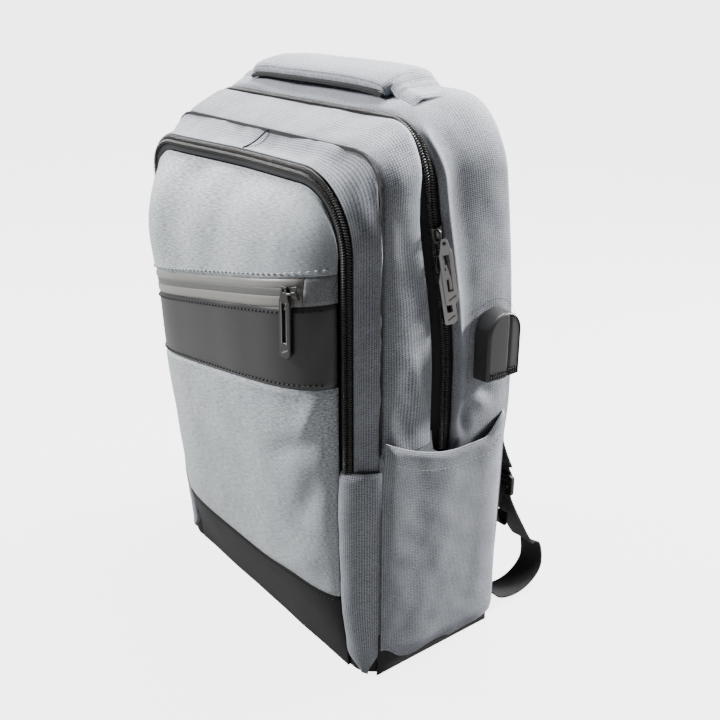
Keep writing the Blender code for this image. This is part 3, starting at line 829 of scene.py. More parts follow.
inner = cloth(
    "front_zip_inner_tape", 220, 6,
    tape_between(
        lambda s: front_rail(s, -0.0084, 0.0006), lambda s: front_rail(s, -0.0030, 0.0006), 0.0008,
    ),
    TAPE_SMOOTH, roll=(0, 0, 1, 0), depth=0.0010, reach=0.002, thick=TAPE_THICK,
)
settle(inner, None, ["front_zip_inner"], FLAP_BEND)
outer = cloth(
    "front_zip_outer_tape", 220, 8,
    tape_between(lambda s: front_rail(s, -0.0030, 0.0014), lambda s: front_rail(s, 0.0040, 0.0068)),
    TAPE_BLACK, roll=(0, 0, 0, 1), depth=0.0008, reach=0.002, thick=TAPE_THICK,
)
settle(outer, None, ["front_zip_outer"], LOW_BEND)


COIL_PITCH, COIL_WIDTH, COIL_HIGH, COIL_LEAN = 0.0019, 0.0042, 0.0017, 0.32


def coil_teeth(name, rail, outs, body, bend=None, steps=400):
    """Two rows of slanted coil loops that meet on the rail."""
    work = bmesh.new()
    pitch, width = COIL_PITCH, COIL_WIDTH
    path = [rail(i / steps) for i in range(steps + 1)]
    for place, ahead in resample(path, pitch):
        out = outs(place)
        for side in (1, -1):
            at = frame_at(place + ahead * (0.25 * pitch * side), ahead, out)
            made = bmesh.ops.create_icosphere(work, subdivisions=1, radius=1.0)
            lean = Matrix.Rotation(side * COIL_LEAN, 4, "Z")
            shift = Matrix.Translation((0, side * width * 0.46, 0))
            shape = Matrix.Diagonal((pitch * 0.32, width * 0.54, COIL_HIGH, 1))
            bmesh.ops.transform(work, matrix=at @ shift @ lean @ shape, verts=made["verts"])
    return settle(finish_piece(name, work, COIL), body, bend=bend)


def front_zip_out(p):
    side = ease((abs(p.x) - 0.09) / 0.035)
    top = ease((p.z - 0.36) / 0.035) * (1 - side * 0.3)
    return Vector((math.copysign(0.80 * side, p.x), -1.0, 0.55 * top)).normalized()


coil_teeth("front_zip_coil", lambda s: front_rail(s, 0.0, 0.0010), front_zip_out, None, LOW_BEND)


# Front gusset and the strips below the zip ends.
def gusset_rails(u):
    near, far = front_rail(u, 0.0044, 0.0040), seam_rail(u, 0.0065, 0.0022, FRONT_ZIP_LOW)
    out = front_zip_out(near)
    out.y = 0.0
    rails = [near]
    for share, lift in ((0.22, -0.0012), (0.48, 0.0006), (0.72, 0.0044), (0.90, 0.0062)):
        rails.append(near.lerp(far, share) + out * lift)
    return rails + [far]


GUSSET_CREASES = (
    ((0.139, -0.05, 0.350), (0.146, -0.046, 0.250), 0.005, -0.0016),
    ((0.133, -0.052, 0.405), (0.146, -0.045, 0.370), 0.006, 0.0016),
)


def gusset_folds(p, u, t):
    soft = ripple(p, 0.034, 0.0032, 12.0) + ripple(p, 0.012, 0.0008, 2.0)
    soft -= 0.0016 * math.sin(math.pi * t) * ease((p[2] - 0.28) / 0.06)
    return creased(p, soft, GUSSET_CREASES) * ease(t / 0.30)


def gusset_place(u, t):
    return smooth_through(gusset_rails(u), t)


gusset = cloth(
    "front_gusset_cloth", 300, 14, gusset_place, SIDE_ALONG, gusset_folds,
    roll=(0, 0, 0, 1), depth=0.0016, reach=0.003,
)
settle(gusset, None, ["front_gusset"], LOW_BEND)


def seam_shade_line(name, points, body):
    """A sunk seam: a thin dark line along the cloth, which is painted shade of the seam's groove."""
    return settle(tube(name, points, 0.0006, LINING), body)


def strip_rail(side, x, back):
    share = 1 - back / (SEAM_Y - EDGE_Y)

    def at(z):
        y = SEAM_Y + (edge_y(1, z) - SEAM_Y) * share
        return Vector((side * x, y, z))
    return at


# How far out and how far back the rails of a strip lie, from the front panel to the seam.
STRIP_RAILS = ((0.1212, 0.0016), (0.1270, -0.0012), (0.1352, 0.0022), (0.1430, 0.0095), (0.1478, 0.0205))


def strip_place(side):
    rails = [strip_rail(side, x, back) for x, back in STRIP_RAILS]

    def place(u, t):
        z = mix(ABOVE_FLOOR, STRIP_TOP, t)
        tip = ease((0.026 - z) / 0.026)
        return smooth_through([r(z) for r in rails], mix(u, 0.55 + 0.14 * u, tip))
    return place


def strip_folds(p, u, t):
    soft = ripple(p, 0.040, 0.0022, 21.0, (1, 1, 0.4)) + ripple(p, 0.014, 0.0005, 4.0)
    return soft + 0.0026 * math.sin(math.pi * u)


# Middle gusset.
MID_CREASES = (
    ((0.149, -0.038, 0.405), (0.149, -0.022, 0.330), 0.007, -0.0012),
    ((0.149, -0.020, 0.285), (0.149, -0.005, 0.225), 0.006, 0.0020),
    ((0.149, -0.030, 0.240), (0.149, -0.018, 0.200), 0.007, -0.0022),
    ((0.126, -0.045, 0.421), (0.140, -0.020, 0.430), 0.0035, 0.0022),
    ((0.060, -0.040, 0.424), (0.085, -0.025, 0.430), 0.008, -0.0014),
)


def mid_folds(p, u, t):
    side = ease((abs(p[0]) - 0.12) / 0.02)
    soft = ripple(p, 0.040, 0.0024, 31.0, (1, 1, 0.35)) + ripple(p, 0.015, 0.0007, 6.0)
    soft += side * 0.0006 * math.sin(math.pi * t)
    return creased(p, soft, MID_CREASES) * ease(t / 0.12) * ease((1 - t) / 0.15)


def mid_place(u, t):
    a, c = seam_rail(u, 0.0085, 0.0014), mid_rail(u, 0.0030)
    c.z += 0.0038 * ease((c.z - 0.415) / 0.015)
    side = ease((abs(a.x) - 0.118) / 0.026)
    rails = [a]
    for share, lift in ((0.10, 0.0054), (0.30, 0.0072), (0.60, 0.0056), (0.86, 0.0030)):
        p = a.lerp(c, share)
        flat = lift * (0.55 + 0.45 * side)
        p.x += math.copysign(flat * side, p.x)
        p.z += flat * (1 - side)
        rails.append(p)
    return smooth_through(rails + [c], t)


middle = cloth("mid_gusset_cloth", 320, 26, mid_place, SIDE_ALONG, mid_folds, (0, 0, 1, 1), 0.0022, 0.005)
settle(middle, "front_section", ["mid_gusset"])
tape = cloth(
    "main_zip_front_tape", 240, 6,
    tape_between(lambda s: main_rail(s, -0.0060, -0.0110), lambda s: main_rail(s, 0.0, -0.0030)),
    TAPE_BLACK, roll=(0, 0, 0, 0), thick=TAPE_THICK,
)
settle(tape, "front_section", ["main_zip_front"])
tape = cloth(
    "main_zip_rear_tape", 260, 6,
    tape_between(lambda s: main_rail(s, 0.0, -0.0030), lambda s: main_rail(s, 0.0, 0.0112)),
    TAPE_BLACK, roll=(0, 0, 0, 0), thick=TAPE_THICK,
)
settle(tape, "pack", ["main_zip_rear"])


def main_zip_out(p):
    side = ease((abs(p.x) - 0.108) / 0.030)
    return Vector((math.copysign(side, p.x), 0, 1 - side * 0.98)).normalized()


coil_teeth("main_zip_coil", lambda s: main_rail(s, 0.0010, 0.0), main_zip_out, "pack")


# Rear part: hoops from the zip to the back, each with its extra width, its rise, its corner radius and how
# far back it lies.
REAR_HOOPS = (
    (-0.0024, -0.0140, 0.050, 0.00),
    (-0.0004, -0.0070, 0.052, 0.14),
    (0.0000, -0.0020, 0.053, 0.40),
    (0.0000, 0.0000, 0.053, 0.75),
    (-0.0030, -0.0030, 0.053, 1.00),
)


def rear_point(u, spec):
    wide, rise, r, share = spec

    def depth(x, z):
        near = main_y(z) + 0.0064 - 0.0056 * ease((z - 0.40) / 0.04)
        return mix(near, back_y(z) + 0.0070, share)

    p = arch_at(u, side_half(1.0) + wide, REAR_TOP + rise, r, depth, BASE_T + 0.0004)
    inward = side_half(1.0) - side_half(p.z)
    p.x -= math.copysign(inward, p.x)
    return p


# Creases round the hood, in the shoulder and at the two short joins in the top.
REAR_CREASES = (
    ((0.150, 0.034, 0.233), (0.150, 0.062, 0.227), 0.005, -0.0042),
    ((0.150, 0.030, 0.243), (0.150, 0.058, 0.216), 0.006, 0.0030),
    ((0.150, 0.030, 0.222), (0.150, 0.036, 0.196), 0.005, -0.0020),
    ((0.100, 0.006, 0.440), (0.128, 0.030, 0.436), 0.010, -0.0018),
    ((0.087, 0.002, 0.439), (0.089, 0.010, 0.446), 0.0012, -0.0016),
    ((-0.085, 0.002, 0.439), (-0.087, 0.010, 0.446), 0.0012, -0.0016),
)


def rear_folds(p, u, t):
    x, _, z = p
    side = ease((abs(x) - 0.12) / 0.02)
    soft = ripple(p, 0.055, 0.0030, 41.0, (1, 1, 0.5)) + ripple(p, 0.018, 0.0006, 8.0)
    soft += side * 0.0022 * hump(t, 0.14, 0.07) * ease((z - 0.20) / 0.05)
    soft -= side * 0.0014 * hump(t, 0.36, 0.12) * ease((z - 0.24) / 0.05)
    soft = creased(p, soft, REAR_CREASES)
    return soft if z > 0.16 else min(0.0, soft) * 0.5


def rear_place(u, t):
    return smooth_through([rear_point(u, spec) for spec in REAR_HOOPS], t)


rear = cloth(
    "rear_gusset_cloth", 420, 34, rear_place, SIDE_ALONG, rear_folds,
    roll=(0, 0, 1, 1), depth=0.0018, reach=0.004,
)
settle(rear, "pack", ["rear_top", "rear_side_right", "rear_side_left"])


# Lower sides, strips and pockets, right and left.
POCKET_FRONT, POCKET_REAR = -0.0450, 0.0800


def pocket_top(y):
    return 0.1905 + 0.026 * max(0.0, (0.025 - y) / 0.075) ** 1.6 + 0.015 * ease((y - 0.052) / 0.024)


def pocket_place(side):
    def place(u, t):
        y = mix(POCKET_FRONT, POCKET_REAR, u)
        foot = 0.0045 + 0.0045 * ease((y - 0.040) / 0.035) + 0.022 * ease((-0.018 - y) / 0.026)
        foot += 0.0014 * math.sin(y * 160.0 + 0.8)
        z = mix(foot, pocket_top(y), t)
        share = min(1.0, abs((y - 0.0160) / 0.0640))
        lift = math.sqrt(max(0.0, 1 - share ** (2.6 if y < 0.016 else 5.0))) * ease(z / 0.03 + 0.1)
        return Vector((side * (side_half(z) - 0.0012 + 0.0104 * lift), y, z))
    return place


def pocket_folds(p, u, t):
    soft = ripple(p, 0.040, 0.0013, 51.0, (1, 1, 0.25)) + ripple(p, 0.015, 0.0005, 11.0)
    soft += 0.0007 * math.sin(p[1] * 110.0 + 0.6) * ease(t * 1.4)
    soft += crease(p, (0.156, -0.040, 0.03), (0.156, -0.015, 0.060), 0.010, -0.0010)
    return soft


for side, tag in SIDES:
    strip = cloth(
        "front_strip_cloth_" + tag, 14, 80, strip_place(side), SIDE, strip_folds, (1, 1, 1, 1), 0.0014,
        0.003,
    )
    settle(strip, None, ["front_strip_" + tag], LOW_BEND)

    def lower_side(u, t, side=side):
        z = mix(BASE_T + 0.0003, 0.2060, t)
        out = SEAM_HALF - 0.0014 - 0.0020 * ease((z - 0.190) / 0.016)
        rear_edge = 0.0272 - 0.0200 * ease((z - 0.178) / 0.014)
        return Vector((side * out, mix(SEAM_Y, rear_edge, u), z))

    low = cloth("mid_side_cloth_" + tag, 20, 50, lower_side, SIDE, None, (1, 0, 0, 0))
    settle(low, None, ["mid_side_" + tag], LOW_BEND)
    pocket = cloth(
        "side_pocket_cloth_" + tag, 60, 90, pocket_place(side), SIDE, pocket_folds, (1, 1, 1, 1),
        0.0016, 0.004,
    )
    settle(pocket, "pack", ["side_pocket_" + tag])

    def outside(p, side=side):
        return Vector((side, 0, 0))

    place = pocket_place(side)
    hem = [place(i / 60, 0.925) + Vector((side * 0.0007, 0, 0)) for i in range(3, 56)]
    stitches(
        "pocket_hem_stitches_" + tag, hem, outside, THREAD_GREY, "pack", length=0.0028,
        gap=0.0018, fat=0.0004,
    )
    ends = [strip_place(side)(0.08 + 0.8 * i / 12, 0.975) for i in range(13)]
    stitches(
        "strip_end_stitches_" + tag, ends, panel_out, THREAD_GREY, None, length=0.0020,
        gap=0.0012, fat=0.0004, bend=LOW_BEND,
    )


# Hard pieces are made lying flat and then moved into place.
def solid(name, work, matrix, material, bevel=0.0, smooth=True):
    if matrix is not None:
        bmesh.ops.transform(work, matrix=matrix, verts=work.verts)
    if bevel:
        bmesh.ops.bevel(
            work, geom=list(work.edges), offset=bevel, offset_type="OFFSET", segments=3,
            profile=0.5, affect="EDGES", material=-1, clamp_overlap=True,
        )
    bmesh.ops.recalc_face_normals(work, faces=work.faces)
    return finish_piece(name, work, material, smooth)


def block(name, size, matrix, material, bevel):
    work = bmesh.new()
    bmesh.ops.create_cube(work, size=1.0)
    bmesh.ops.transform(work, matrix=Matrix.Diagonal((*size, 1)), verts=work.verts)
    return solid(name, work, matrix, material, bevel)


def plate(name, outlines, thick, edge, matrix, material):
    """A flat plate with rounded edges. outlines: the outer line first, then any holes."""
    curve = bpy.data.curves.new(name, "CURVE")
    curve.dimensions = "2D"
    curve.fill_mode = "BOTH"
    curve.extrude = thick / 2 - edge
    curve.bevel_depth = edge
    curve.bevel_resolution = 2
    curve.offset = -edge
    for line in outlines:
        spline = curve.splines.new("POLY")
        spline.points.add(len(line) - 1)
        spline.use_cyclic_u = True
        for point, (x, y) in zip(spline.points, line):
            point.co = (x, y, 0, 1)
    flat = bpy.data.objects.new(name, curve)
    bpy.context.scene.collection.objects.link(flat)
    graph = bpy.context.evaluated_depsgraph_get()
    data = bpy.data.meshes.new_from_object(flat.evaluated_get(graph))
    bpy.data.objects.remove(flat)
    work = bmesh.new()
    work.from_mesh(data)
    bmesh.ops.remove_doubles(work, verts=work.verts, dist=0.000005)
    return solid(name, work, matrix, material, smooth=False)


def rounded(width, height, r, steps=6, x=0.0, y=0.0):
    """The outline of a rounded rectangle round (x, y)."""
    line = []
    for cx, cy, start in ((1, 1, 0), (-1, 1, 90), (-1, -1, 180), (1, -1, 270)):
        for i in range(steps + 1):
            a = math.radians(start + 90 * i / steps)
            across = x + cx * (width / 2 - r) + r * math.cos(a)
            line.append((across, y + cy * (height / 2 - r) + r * math.sin(a)))
    return line


def tube(name, points, radius, material, closed=False):
    """A round bar along a path."""
    curve = bpy.data.curves.new(name, "CURVE")
    curve.dimensions = "3D"
    curve.bevel_depth = radius
    curve.bevel_resolution = 3
    curve.use_fill_caps = True
    spline = curve.splines.new("POLY")
    spline.points.add(len(points) - 1)
    spline.use_cyclic_u = closed
    for point, place in zip(spline.points, points):
        point.co = (*place, 1)
    bent = bpy.data.objects.new(name, curve)
    bpy.context.scene.collection.objects.link(bent)
    graph = bpy.context.evaluated_depsgraph_get()
    data = bpy.data.meshes.new_from_object(bent.evaluated_get(graph))
    bpy.data.objects.remove(bent)
    work = bmesh.new()
    work.from_mesh(data)
    return solid(name, work, None, material)


def stand(place, down, out):
    """Local y runs up a hanging piece, local z points out of the bag."""
    up = -Vector(down).normalized()
    side = up.cross(Vector(out)).normalized()
    front = side.cross(up).normalized()
    return Matrix.Translation(place) @ Matrix((side, up, front)).transposed().to_4x4()


def zip_pull(name, place, down, out, length, width, thick, body, metal):
    """A slotted zip pull: a neck at the slider, a long window and a square end with one cut corner."""
    at = stand(place, down, out)
    w, low = width / 2, -length
    outer = [(0.0022, 0.0012), (-0.0022, 0.0012), (-0.0030, -0.0020), (-w * 0.78, -0.0065), (-w, -0.0100)]
    outer += [(-w, low + 0.0012), (-w + 0.0012, low), (w - 0.0028, low), (w, low + 0.0028), (w, -0.0100)]
    outer += [(w * 0.78, -0.0065), (0.0030, -0.0020)]
    window = rounded(width * 0.40, length * 0.56, width * 0.10, y=-length * 0.50)
    eye = rounded(0.0024, 0.0022, 0.0009, y=-0.0018)
    body_plate = plate(name, [outer, window, eye], thick, thick * 0.26, at, metal)
    settle(body_plate, body, [body])
    low_edge = at @ Matrix.Translation((width * 0.06, low + 0.0052, 0)) @ Matrix.Rotation(0.5, 4, "Z")
    other = METAL if metal == METAL_DARK else METAL_DARK
    notch = block(name + "_notch", (width * 0.66, 0.0012, thick + 0.0005), low_edge, other, 0.0003)
    settle(notch, body)
    for k, side in enumerate((-1, 1)):
        edge = at @ Matrix.Translation((side * width * 0.245, -length * 0.50, 0))
        bar = block(
            "%s_edge_%d" % (name, k), (width * 0.08, length * 0.60, thick + 0.0006), edge, METAL,
            0.0002,
        )
        settle(bar, body)


def slider(name, place, ahead, out, body, width=0.0096, length=0.0120):
    """A wedge-shaped slider with a looped bridge. ahead runs along the coil."""
    at = frame_at(Vector(place), Vector(ahead).normalized(), out)
    w = width / 2
    shape = [
        (length / 2, w), (length * 0.10, w * 0.98), (-length / 2, w * 0.62), (-length / 2, -w * 0.62),
    ]
    shape += [
        (length * 0.10, -w * 0.98), (length / 2, -w), (length * 0.36, -w * 0.25),
        (length * 0.36, w * 0.25),
    ]
    top = plate(name, [shape], 0.0017, 0.0005, at @ Matrix.Translation((0, 0, 0.0008)), METAL_DARK)
    settle(top, body, [body])
    arc = []
    for i in range(13):
        a = math.pi * i / 12
        arc.append(at @ Vector((-length * 0.34 * math.cos(a), 0, 0.0014 + 0.0030 * math.sin(a) ** 0.7)))
    settle(tube(name + "_bridge", arc, 0.0011, METAL_DARK), body)
    spot = at @ Matrix.Translation((length * 0.16, 0, 0.0018))
    rib = block(name + "_rib", (length * 0.46, 0.0018, 0.0008), spot, METAL, 0.0003)
    settle(rib, body)


# The two sliders of the main zip meet on the right side, and their pulls hang a little to the rear.
UPPER_Z, LOWER_Z = 0.361, 0.340
PULL_DOWN = Vector((0, 0.22, -1))
SIDE_OUT = Vector((1, 0, 0))
PULL_OUT = Vector((0.88, -0.47, 0))


def zip_slope(z, step=0.01):
    """The direction of the main zip where it passes height z on the right side."""
    return Vector((0, main_y(z + step) - main_y(z - step), 2 * step)).normalized()


slider(
    "main_upper_slider", (0.1478, main_y(UPPER_Z), UPPER_Z), zip_slope(UPPER_Z), SIDE_OUT,
    "main_slider_upper",
)
slider(
    "main_lower_slider", (0.1478, main_y(LOWER_Z), LOWER_Z), -zip_slope(LOWER_Z), SIDE_OUT,
    "main_slider_lower",
)
zip_pull(
    "main_upper_pull", (0.1548, main_y(UPPER_Z) + 0.001, 0.3580), PULL_DOWN, PULL_OUT, 0.050, 0.0100,
    0.0020, "main_pull_upper", METAL,
)
zip_pull(
    "main_lower_pull", (0.1526, main_y(LOWER_Z), 0.3380), PULL_DOWN, PULL_OUT, 0.046, 0.0100, 0.0018,
    "main_pull_lower", METAL,
)

LEFT_OUT = Vector((-0.707, -0.707, 0))
left_y = edge_y(-0.133, 0.262)
slider(
    "front_zip_slider", (-0.1332, left_y - 0.0010, 0.2620), (0, 0, 1), LEFT_OUT, "front_slider", 0.0086,
)
zip_pull(
    "front_zip_pull", (-0.1356, left_y - 0.0036, 0.2590), Vector((0, 0, -1)), LEFT_OUT, 0.050, 0.0094,
    0.0018, "front_pull", METAL_DARK,
)

POCKET_START, POCKET_END = 0.1025, 0.042
POCKET_OUT = Vector((0.18, -1.0, 0)).normalized()


def zip_middle(x):
    return mix(band_high(x), zip_high(x), 0.54)


start, end = [on_panel(x, zip_middle(x)) for x in (POCKET_START, POCKET_END)]
run = (start - end).normalized()
spot = start + POCKET_OUT * 0.0016
slider("pocket_zip_slider", spot, run, POCKET_OUT, "pocket_slider", 0.0094, 0.0125)
hang = start + POCKET_OUT * 0.0052 + Vector((-0.0060, 0, 0.0030))
zip_pull(
    "pocket_zip_pull", hang, Vector((-0.03, 0, -1)), POCKET_OUT, 0.053, 0.0104, 0.0022, "pocket_pull",
    METAL_DARK,
)


# Padded pieces: a closed pillow laid over a curved middle sheet.
def pillow(name, cuts, middle, half, material, stretch):
    """middle(u, t) is the middle sheet and half(u, t) half of the thickness there, u and t from -1 to 1.

    stretch is the pad's width and length, for the weave.
    """
    work = bmesh.new()
    layer = work.loops.layers.uv.new("cloth")
    bmesh.ops.create_cube(work, size=2.0)
    bmesh.ops.subdivide_edges(work, edges=list(work.edges), cuts=cuts, use_grid_fill=True)
    spot = {}
    for v in work.verts:
        u, t, w = v.co
        spot[v] = (u, t)
        h = 0.004
        along = Vector(middle(min(1, u + h), t)) - Vector(middle(max(-1, u - h), t))
        up = Vector(middle(u, min(1, t + h))) - Vector(middle(u, max(-1, t - h)))
        out = along.cross(up).normalized()
        v.co = Vector(middle(u, t)) + out * (half(u, t) * w)
    for face in work.faces:
        for loop in face.loops:
            u, t = spot[loop.vert]
            loop[layer].uv = (u * stretch[0] / 2, t * stretch[1] / 2)
    bmesh.ops.recalc_face_normals(work, faces=work.faces)
    return finish_piece(name, work, material)


def swell(u, t, full, edge, power):
    """Half thickness of a stuffed panel: thin at the seams and full inside."""
    across, along = math.sqrt(max(0.0, 1 - abs(u) ** power)), math.sqrt(max(0.0, 1 - abs(t) ** power))
    return edge + (full - edge) * across * along


HANDLE_HALF = 0.0900


def handle_middle(u, t):
    x = HANDLE_HALF * u * (1 - 0.02 * abs(t) ** 3)
    rise = 0.0016 * (1 - abs(u) ** 4)
    y = mix(0.0030, 0.0500, 0.5 + 0.5 * t)
    z = mix(0.4530, 0.4580, 0.5 + 0.5 * t) + 0.0034 * (1 - t * t) + rise - 0.0022 * abs(u) ** 14
    return (x, y, z + ripple((x, y, 0), 0.03, 0.0008, 61.0))


def handle_half(u, t):
    ends = 0.55 + 0.45 * math.sqrt(max(0.0, 1 - abs(u) ** 22))
    full = 0.0022 + 0.0046 * math.sqrt(max(0.0, 1 - abs(t) ** 6))
    return full * ends - 0.0010 * hump(abs(u), 0.93, 0.02) * (1 - abs(t) ** 4)


grip = pillow("handle_pad", 44, handle_middle, handle_half, SIDE, (2 * HANDLE_HALF, 0.0455))
settle(grip, "pack", ["handle"])


def handle_lining(u, t):
    x = (HANDLE_HALF - 0.003) * (2 * u - 1)
    rise = 0.0020 * (1 - abs(2 * u - 1) ** 3)
    return Vector((x, 0.0026 + 0.0046 * t, 0.4520 - 0.0040 * t + rise * 0.8))


lining = cloth(
    "handle_lining", 80, 4, handle_lining, LINING, thick=0.0014, outward=(0, -1, -1), roll=(0, 0, 0, 0),
)
settle(lining, "pack")
welt_drop = Vector((0, -0.0008, -0.0024))
welt = [Vector(handle_middle(-0.985 + 1.97 * i / 60, -1.0)) + welt_drop for i in range(61)]
settle(tube("handle_front_welt", welt, 0.0017, LINING), "pack")
for side, tag in SIDES:
    for k, x in enumerate((0.955, 0.915)):
        ts = [-0.9 + 1.8 * i / 16 for i in range(17)]
        line = [Vector(handle_middle(side * x, t)) + Vector((0, 0, handle_half(x, t))) for t in ts]
        stitches(
            "handle_stitches_%s_%d" % (tag, k), line, lambda p: (0, 0, 1), THREAD_GREY, "pack",
            length=0.0022, gap=0.0012, fat=0.0004,
        )


def handle_tab(side):
    def place(u, t):
        x = mix(0.0800, 0.1150, u)
        y = mix(0.0060, 0.0480, t)
        top = handle_middle(0.86, -1 + 2 * t)[2] + 0.0058
        flat = REAR_TOP + 0.0006 - 0.0030 * ease((x - 0.098) / 0.02) - 0.0060 * ease((0.016 - y) / 0.012)
        return Vector((side * x, y, mix(top, flat, ease((x - 0.0830) / 0.0210))))
    return place


def tab_folds(p, u, t):
    x = abs(p[0])
    soft = 0.0003 * math.sin(p[1] * 200)
    return soft - 0.0009 * hump(x, 0.0945, 0.0012) - 0.0009 * hump(x, 0.1000, 0.0012)


for side, tag in SIDES:
    tab = cloth(
        "handle_tab_" + tag, 30, 24, handle_tab(side), SIDE, tab_folds, depth=0.0016, reach=0.004,
        outward=(0, 0, 1),
    )
    settle(tab, "pack")
    for k, x in enumerate((0.415, 0.570)):
        line = [handle_tab(side)(x, 0.06 + 0.88 * i / 20) - Vector((0, 0, 0.0014)) for i in range(21)]
        stitches(
            "handle_tab_stitches_%s_%d" % (tag, k), line, lambda p: (0, 0, 1), THREAD_GREY, "pack",
            length=0.0024, gap=0.0012, fat=0.0006,
        )


# Joins drawn as dark lines of painted seam shade, a seam cord whose darker grey is partly painted valley
# shade, and the black corners and skirts at the base.
CORNER_HIGH = {"right": 0.0340, "left": 0.0680}
# The right corner is tucked behind the strip.
CORNER_RAILS = {
    "right": ((0.1200, 0.0014), (0.1325, 0.0030), (0.1425, 0.0120), (0.1470, 0.0235)),
    "left": ((0.1200, 0.0), (0.1325, -0.0006), (0.1440, 0.0050), (0.1512, 0.0190)),
}
SKIRT_LOW, SKIRT_HIGH = 0.0006, 0.0400

# The dark join lines below are painted shade in the sunk seams.
crease_line = []
for i in range(13):
    at = gusset_place(0.499 - 0.010 * math.sin(i / 12 * 1.5), 0.02 + 0.90 * i / 12)
    crease_line.append(at + Vector((0, -0.0002, 0.0004)))
seam_shade_line("front_gusset_join", crease_line, "front_section")
# A cord fills the seam valley; its darker grey is partly painted valley shade.
valley = [seam_rail(i / 200, 0.0068, 0.0016, FRONT_ZIP_LOW) for i in range(201)]
settle(tube("middle_seam_shade_cord", valley, 0.0015, SEAM_CORD_SHADE), None, bend=LOW_BEND)
for side, tag in SIDES:
    line = []
    for share in [i / 8 for i in range(9)]:
        x, y = side * (0.0870 + 0.001 * share), 0.0020 + 0.0080 * share
        line.append(Vector((x, y, 0.4395 + 0.0100 * ease(share))))
    # This dark line is painted shade in the sunk top join.
    seam_shade_line("top_join_" + tag, line, "pack")

    def corner(u, t, side=side, tag=tag):
        z = mix(SKIRT_LOW, CORNER_HIGH[tag], t)
        near = edge_y(side * 0.12, z)
        return smooth_through([Vector((side * x, near + back, z)) for x, back in CORNER_RAILS[tag]], u)

    wrap = cloth("trim_corner_" + tag, 16, 30, corner, TRIM, band_folds, (0, 1, 1, 1), 0.0008, 0.003)
    settle(wrap, "pack")

    def skirt(u, t, side=side):
        y = mix(-0.0455, 0.0760, u)
        z = mix(SKIRT_LOW, SKIRT_HIGH, t)
        out = 0.1475 + 0.0052 * ease(z / 0.016) * (1 - abs(2 * u - 1) ** 6)
        return Vector((side * out, y, z))

    foot = cloth("base_side_" + tag, 40, 16, skirt, TRIM, band_folds, (1, 1, 1, 0), 0.0010, 0.003)
    settle(foot, "pack")


# Charging hood: a moulded arch with an open mouth below, on a stitched flange.
HOOD_Y, HOOD_R, HOOD_LOW, HOOD_TOP = 0.0590, 0.0180, 0.2440, 0.2970
HOOD_X, HOOD_PROUD = 0.1522, 0.0145
# The wall, its draft, the rounded rim, and where on the way from flange to middle they end.
HOOD_DRAFT, HOOD_ROUND, WALL_END, ROUND_END = 0.0009, 0.0026, 0.34, 0.60
GROOVE_Y = 0.0046


def hood_line(u, r=HOOD_R, low=HOOD_LOW):
    """A point (y, z) on the arch: up the front edge, over and down the rear edge."""
    z0 = HOOD_TOP - HOOD_R
    leg, turn = z0 - low, math.pi * r
    way = u * (2 * leg + turn)
    if way < leg:
        return HOOD_Y - r, low + way
    if way > leg + turn:
        return HOOD_Y + r, low + (2 * leg + turn - way)
    a = (way - leg) / r
    return HOOD_Y - r * math.cos(a), z0 + r * math.sin(a)


def hood_place(u, t):
    y, z = hood_line(u)
    core = min(z, HOOD_TOP - HOOD_R)
    r = HOOD_ROUND
    if t < WALL_END:
        depth, inward = mix(0.0, HOOD_PROUD - r, t / WALL_END), HOOD_DRAFT * t / WALL_END
    elif t < ROUND_END:
        a = (t - WALL_END) / 0.26 * math.pi / 2
        depth = HOOD_PROUD - r + r * math.sin(a)
        inward = HOOD_DRAFT + r * (1 - math.cos(a))
    else:
        share = (t - ROUND_END) / 0.40
        depth = HOOD_PROUD + 0.0004 * math.sin(share * math.pi / 2)
        inward = mix(HOOD_DRAFT + r, HOOD_R, share)
    share = inward / HOOD_R
    y, z = mix(y, HOOD_Y, share), mix(z, core, share)
    if t > 0.5:
        depth -= 0.0022 * hump(y, HOOD_Y + GROOVE_Y, 0.0012)
        depth -= 0.0010 * ease((y - HOOD_Y - GROOVE_Y) / 0.001)
    return Vector((HOOD_X + depth, y, z))


hood = cloth("hood_shell", 96, 40, hood_place, RUBBER, roll=(0, 0, 0, 0), thick=0.0014)
settle(hood, "pack", ["usb_hood"])


def hood_seam(u):
    y, z = hood_line(u, HOOD_R + 0.0065, HOOD_LOW - 0.004)
    return Vector((side_half(z) + 0.0010, y, z))


stitches(
    "hood_stitches", [hood_seam(i / 60) for i in range(61)], lambda p: (1, 0, 0), THREAD_DARK, "pack",
    length=0.0012, gap=0.0014, fat=0.0006,
)
# Two rows of dark dots stand for small holes along the hood's lower edge: they are raised dots, and their
# darkness is painted shade of the holes.
for k, z in enumerate((HOOD_LOW + 0.0024, HOOD_LOW + 0.0052)):
    x = HOOD_X + HOOD_PROUD + 0.0001
    dots = [Vector((x, HOOD_Y - 0.0140 + 0.0280 * i / 20, z)) for i in range(21)]
    stitches(
        "hood_edge_dots_%d" % k, dots, lambda p: (1, 0, 0), THREAD_DARK, "pack",
        length=0.0013, gap=0.0010, fat=0.0020,
    )


# Back: spacer mesh with quilted channels, bound straps, webbing and locks.
BACK_LOW, BACK_TOP, BACK_HALF, BACK_R = 0.0130, 0.4450, 0.1476, 0.0525


def back_place(u, t):
    z = mix(BACK_LOW, BACK_TOP, t)
    r, top, half = BACK_R, BACK_TOP, BACK_HALF
    if z > top - r:
        half += math.sqrt(max(0.0, r * r - (z - top + r) ** 2)) - r
    return Vector((half * (2 * u - 1), back_y(z) + 0.0060, z))


def back_folds(p, u, t):
    """Quilted channels: one down the middle, two beside it and three slanting rows."""
    x, _, z = p
    channel = 0.0040 * hump(x, 0.0, 0.010) + 0.0025 * hump(abs(x), 0.098, 0.004)
    for height in (0.13, 0.25, 0.36):
        channel += 0.0022 * hump(z, height + 0.10 * abs(x), 0.0045)
    return 0.0022 - channel + ripple(p, 0.05, 0.0008, 71.0)


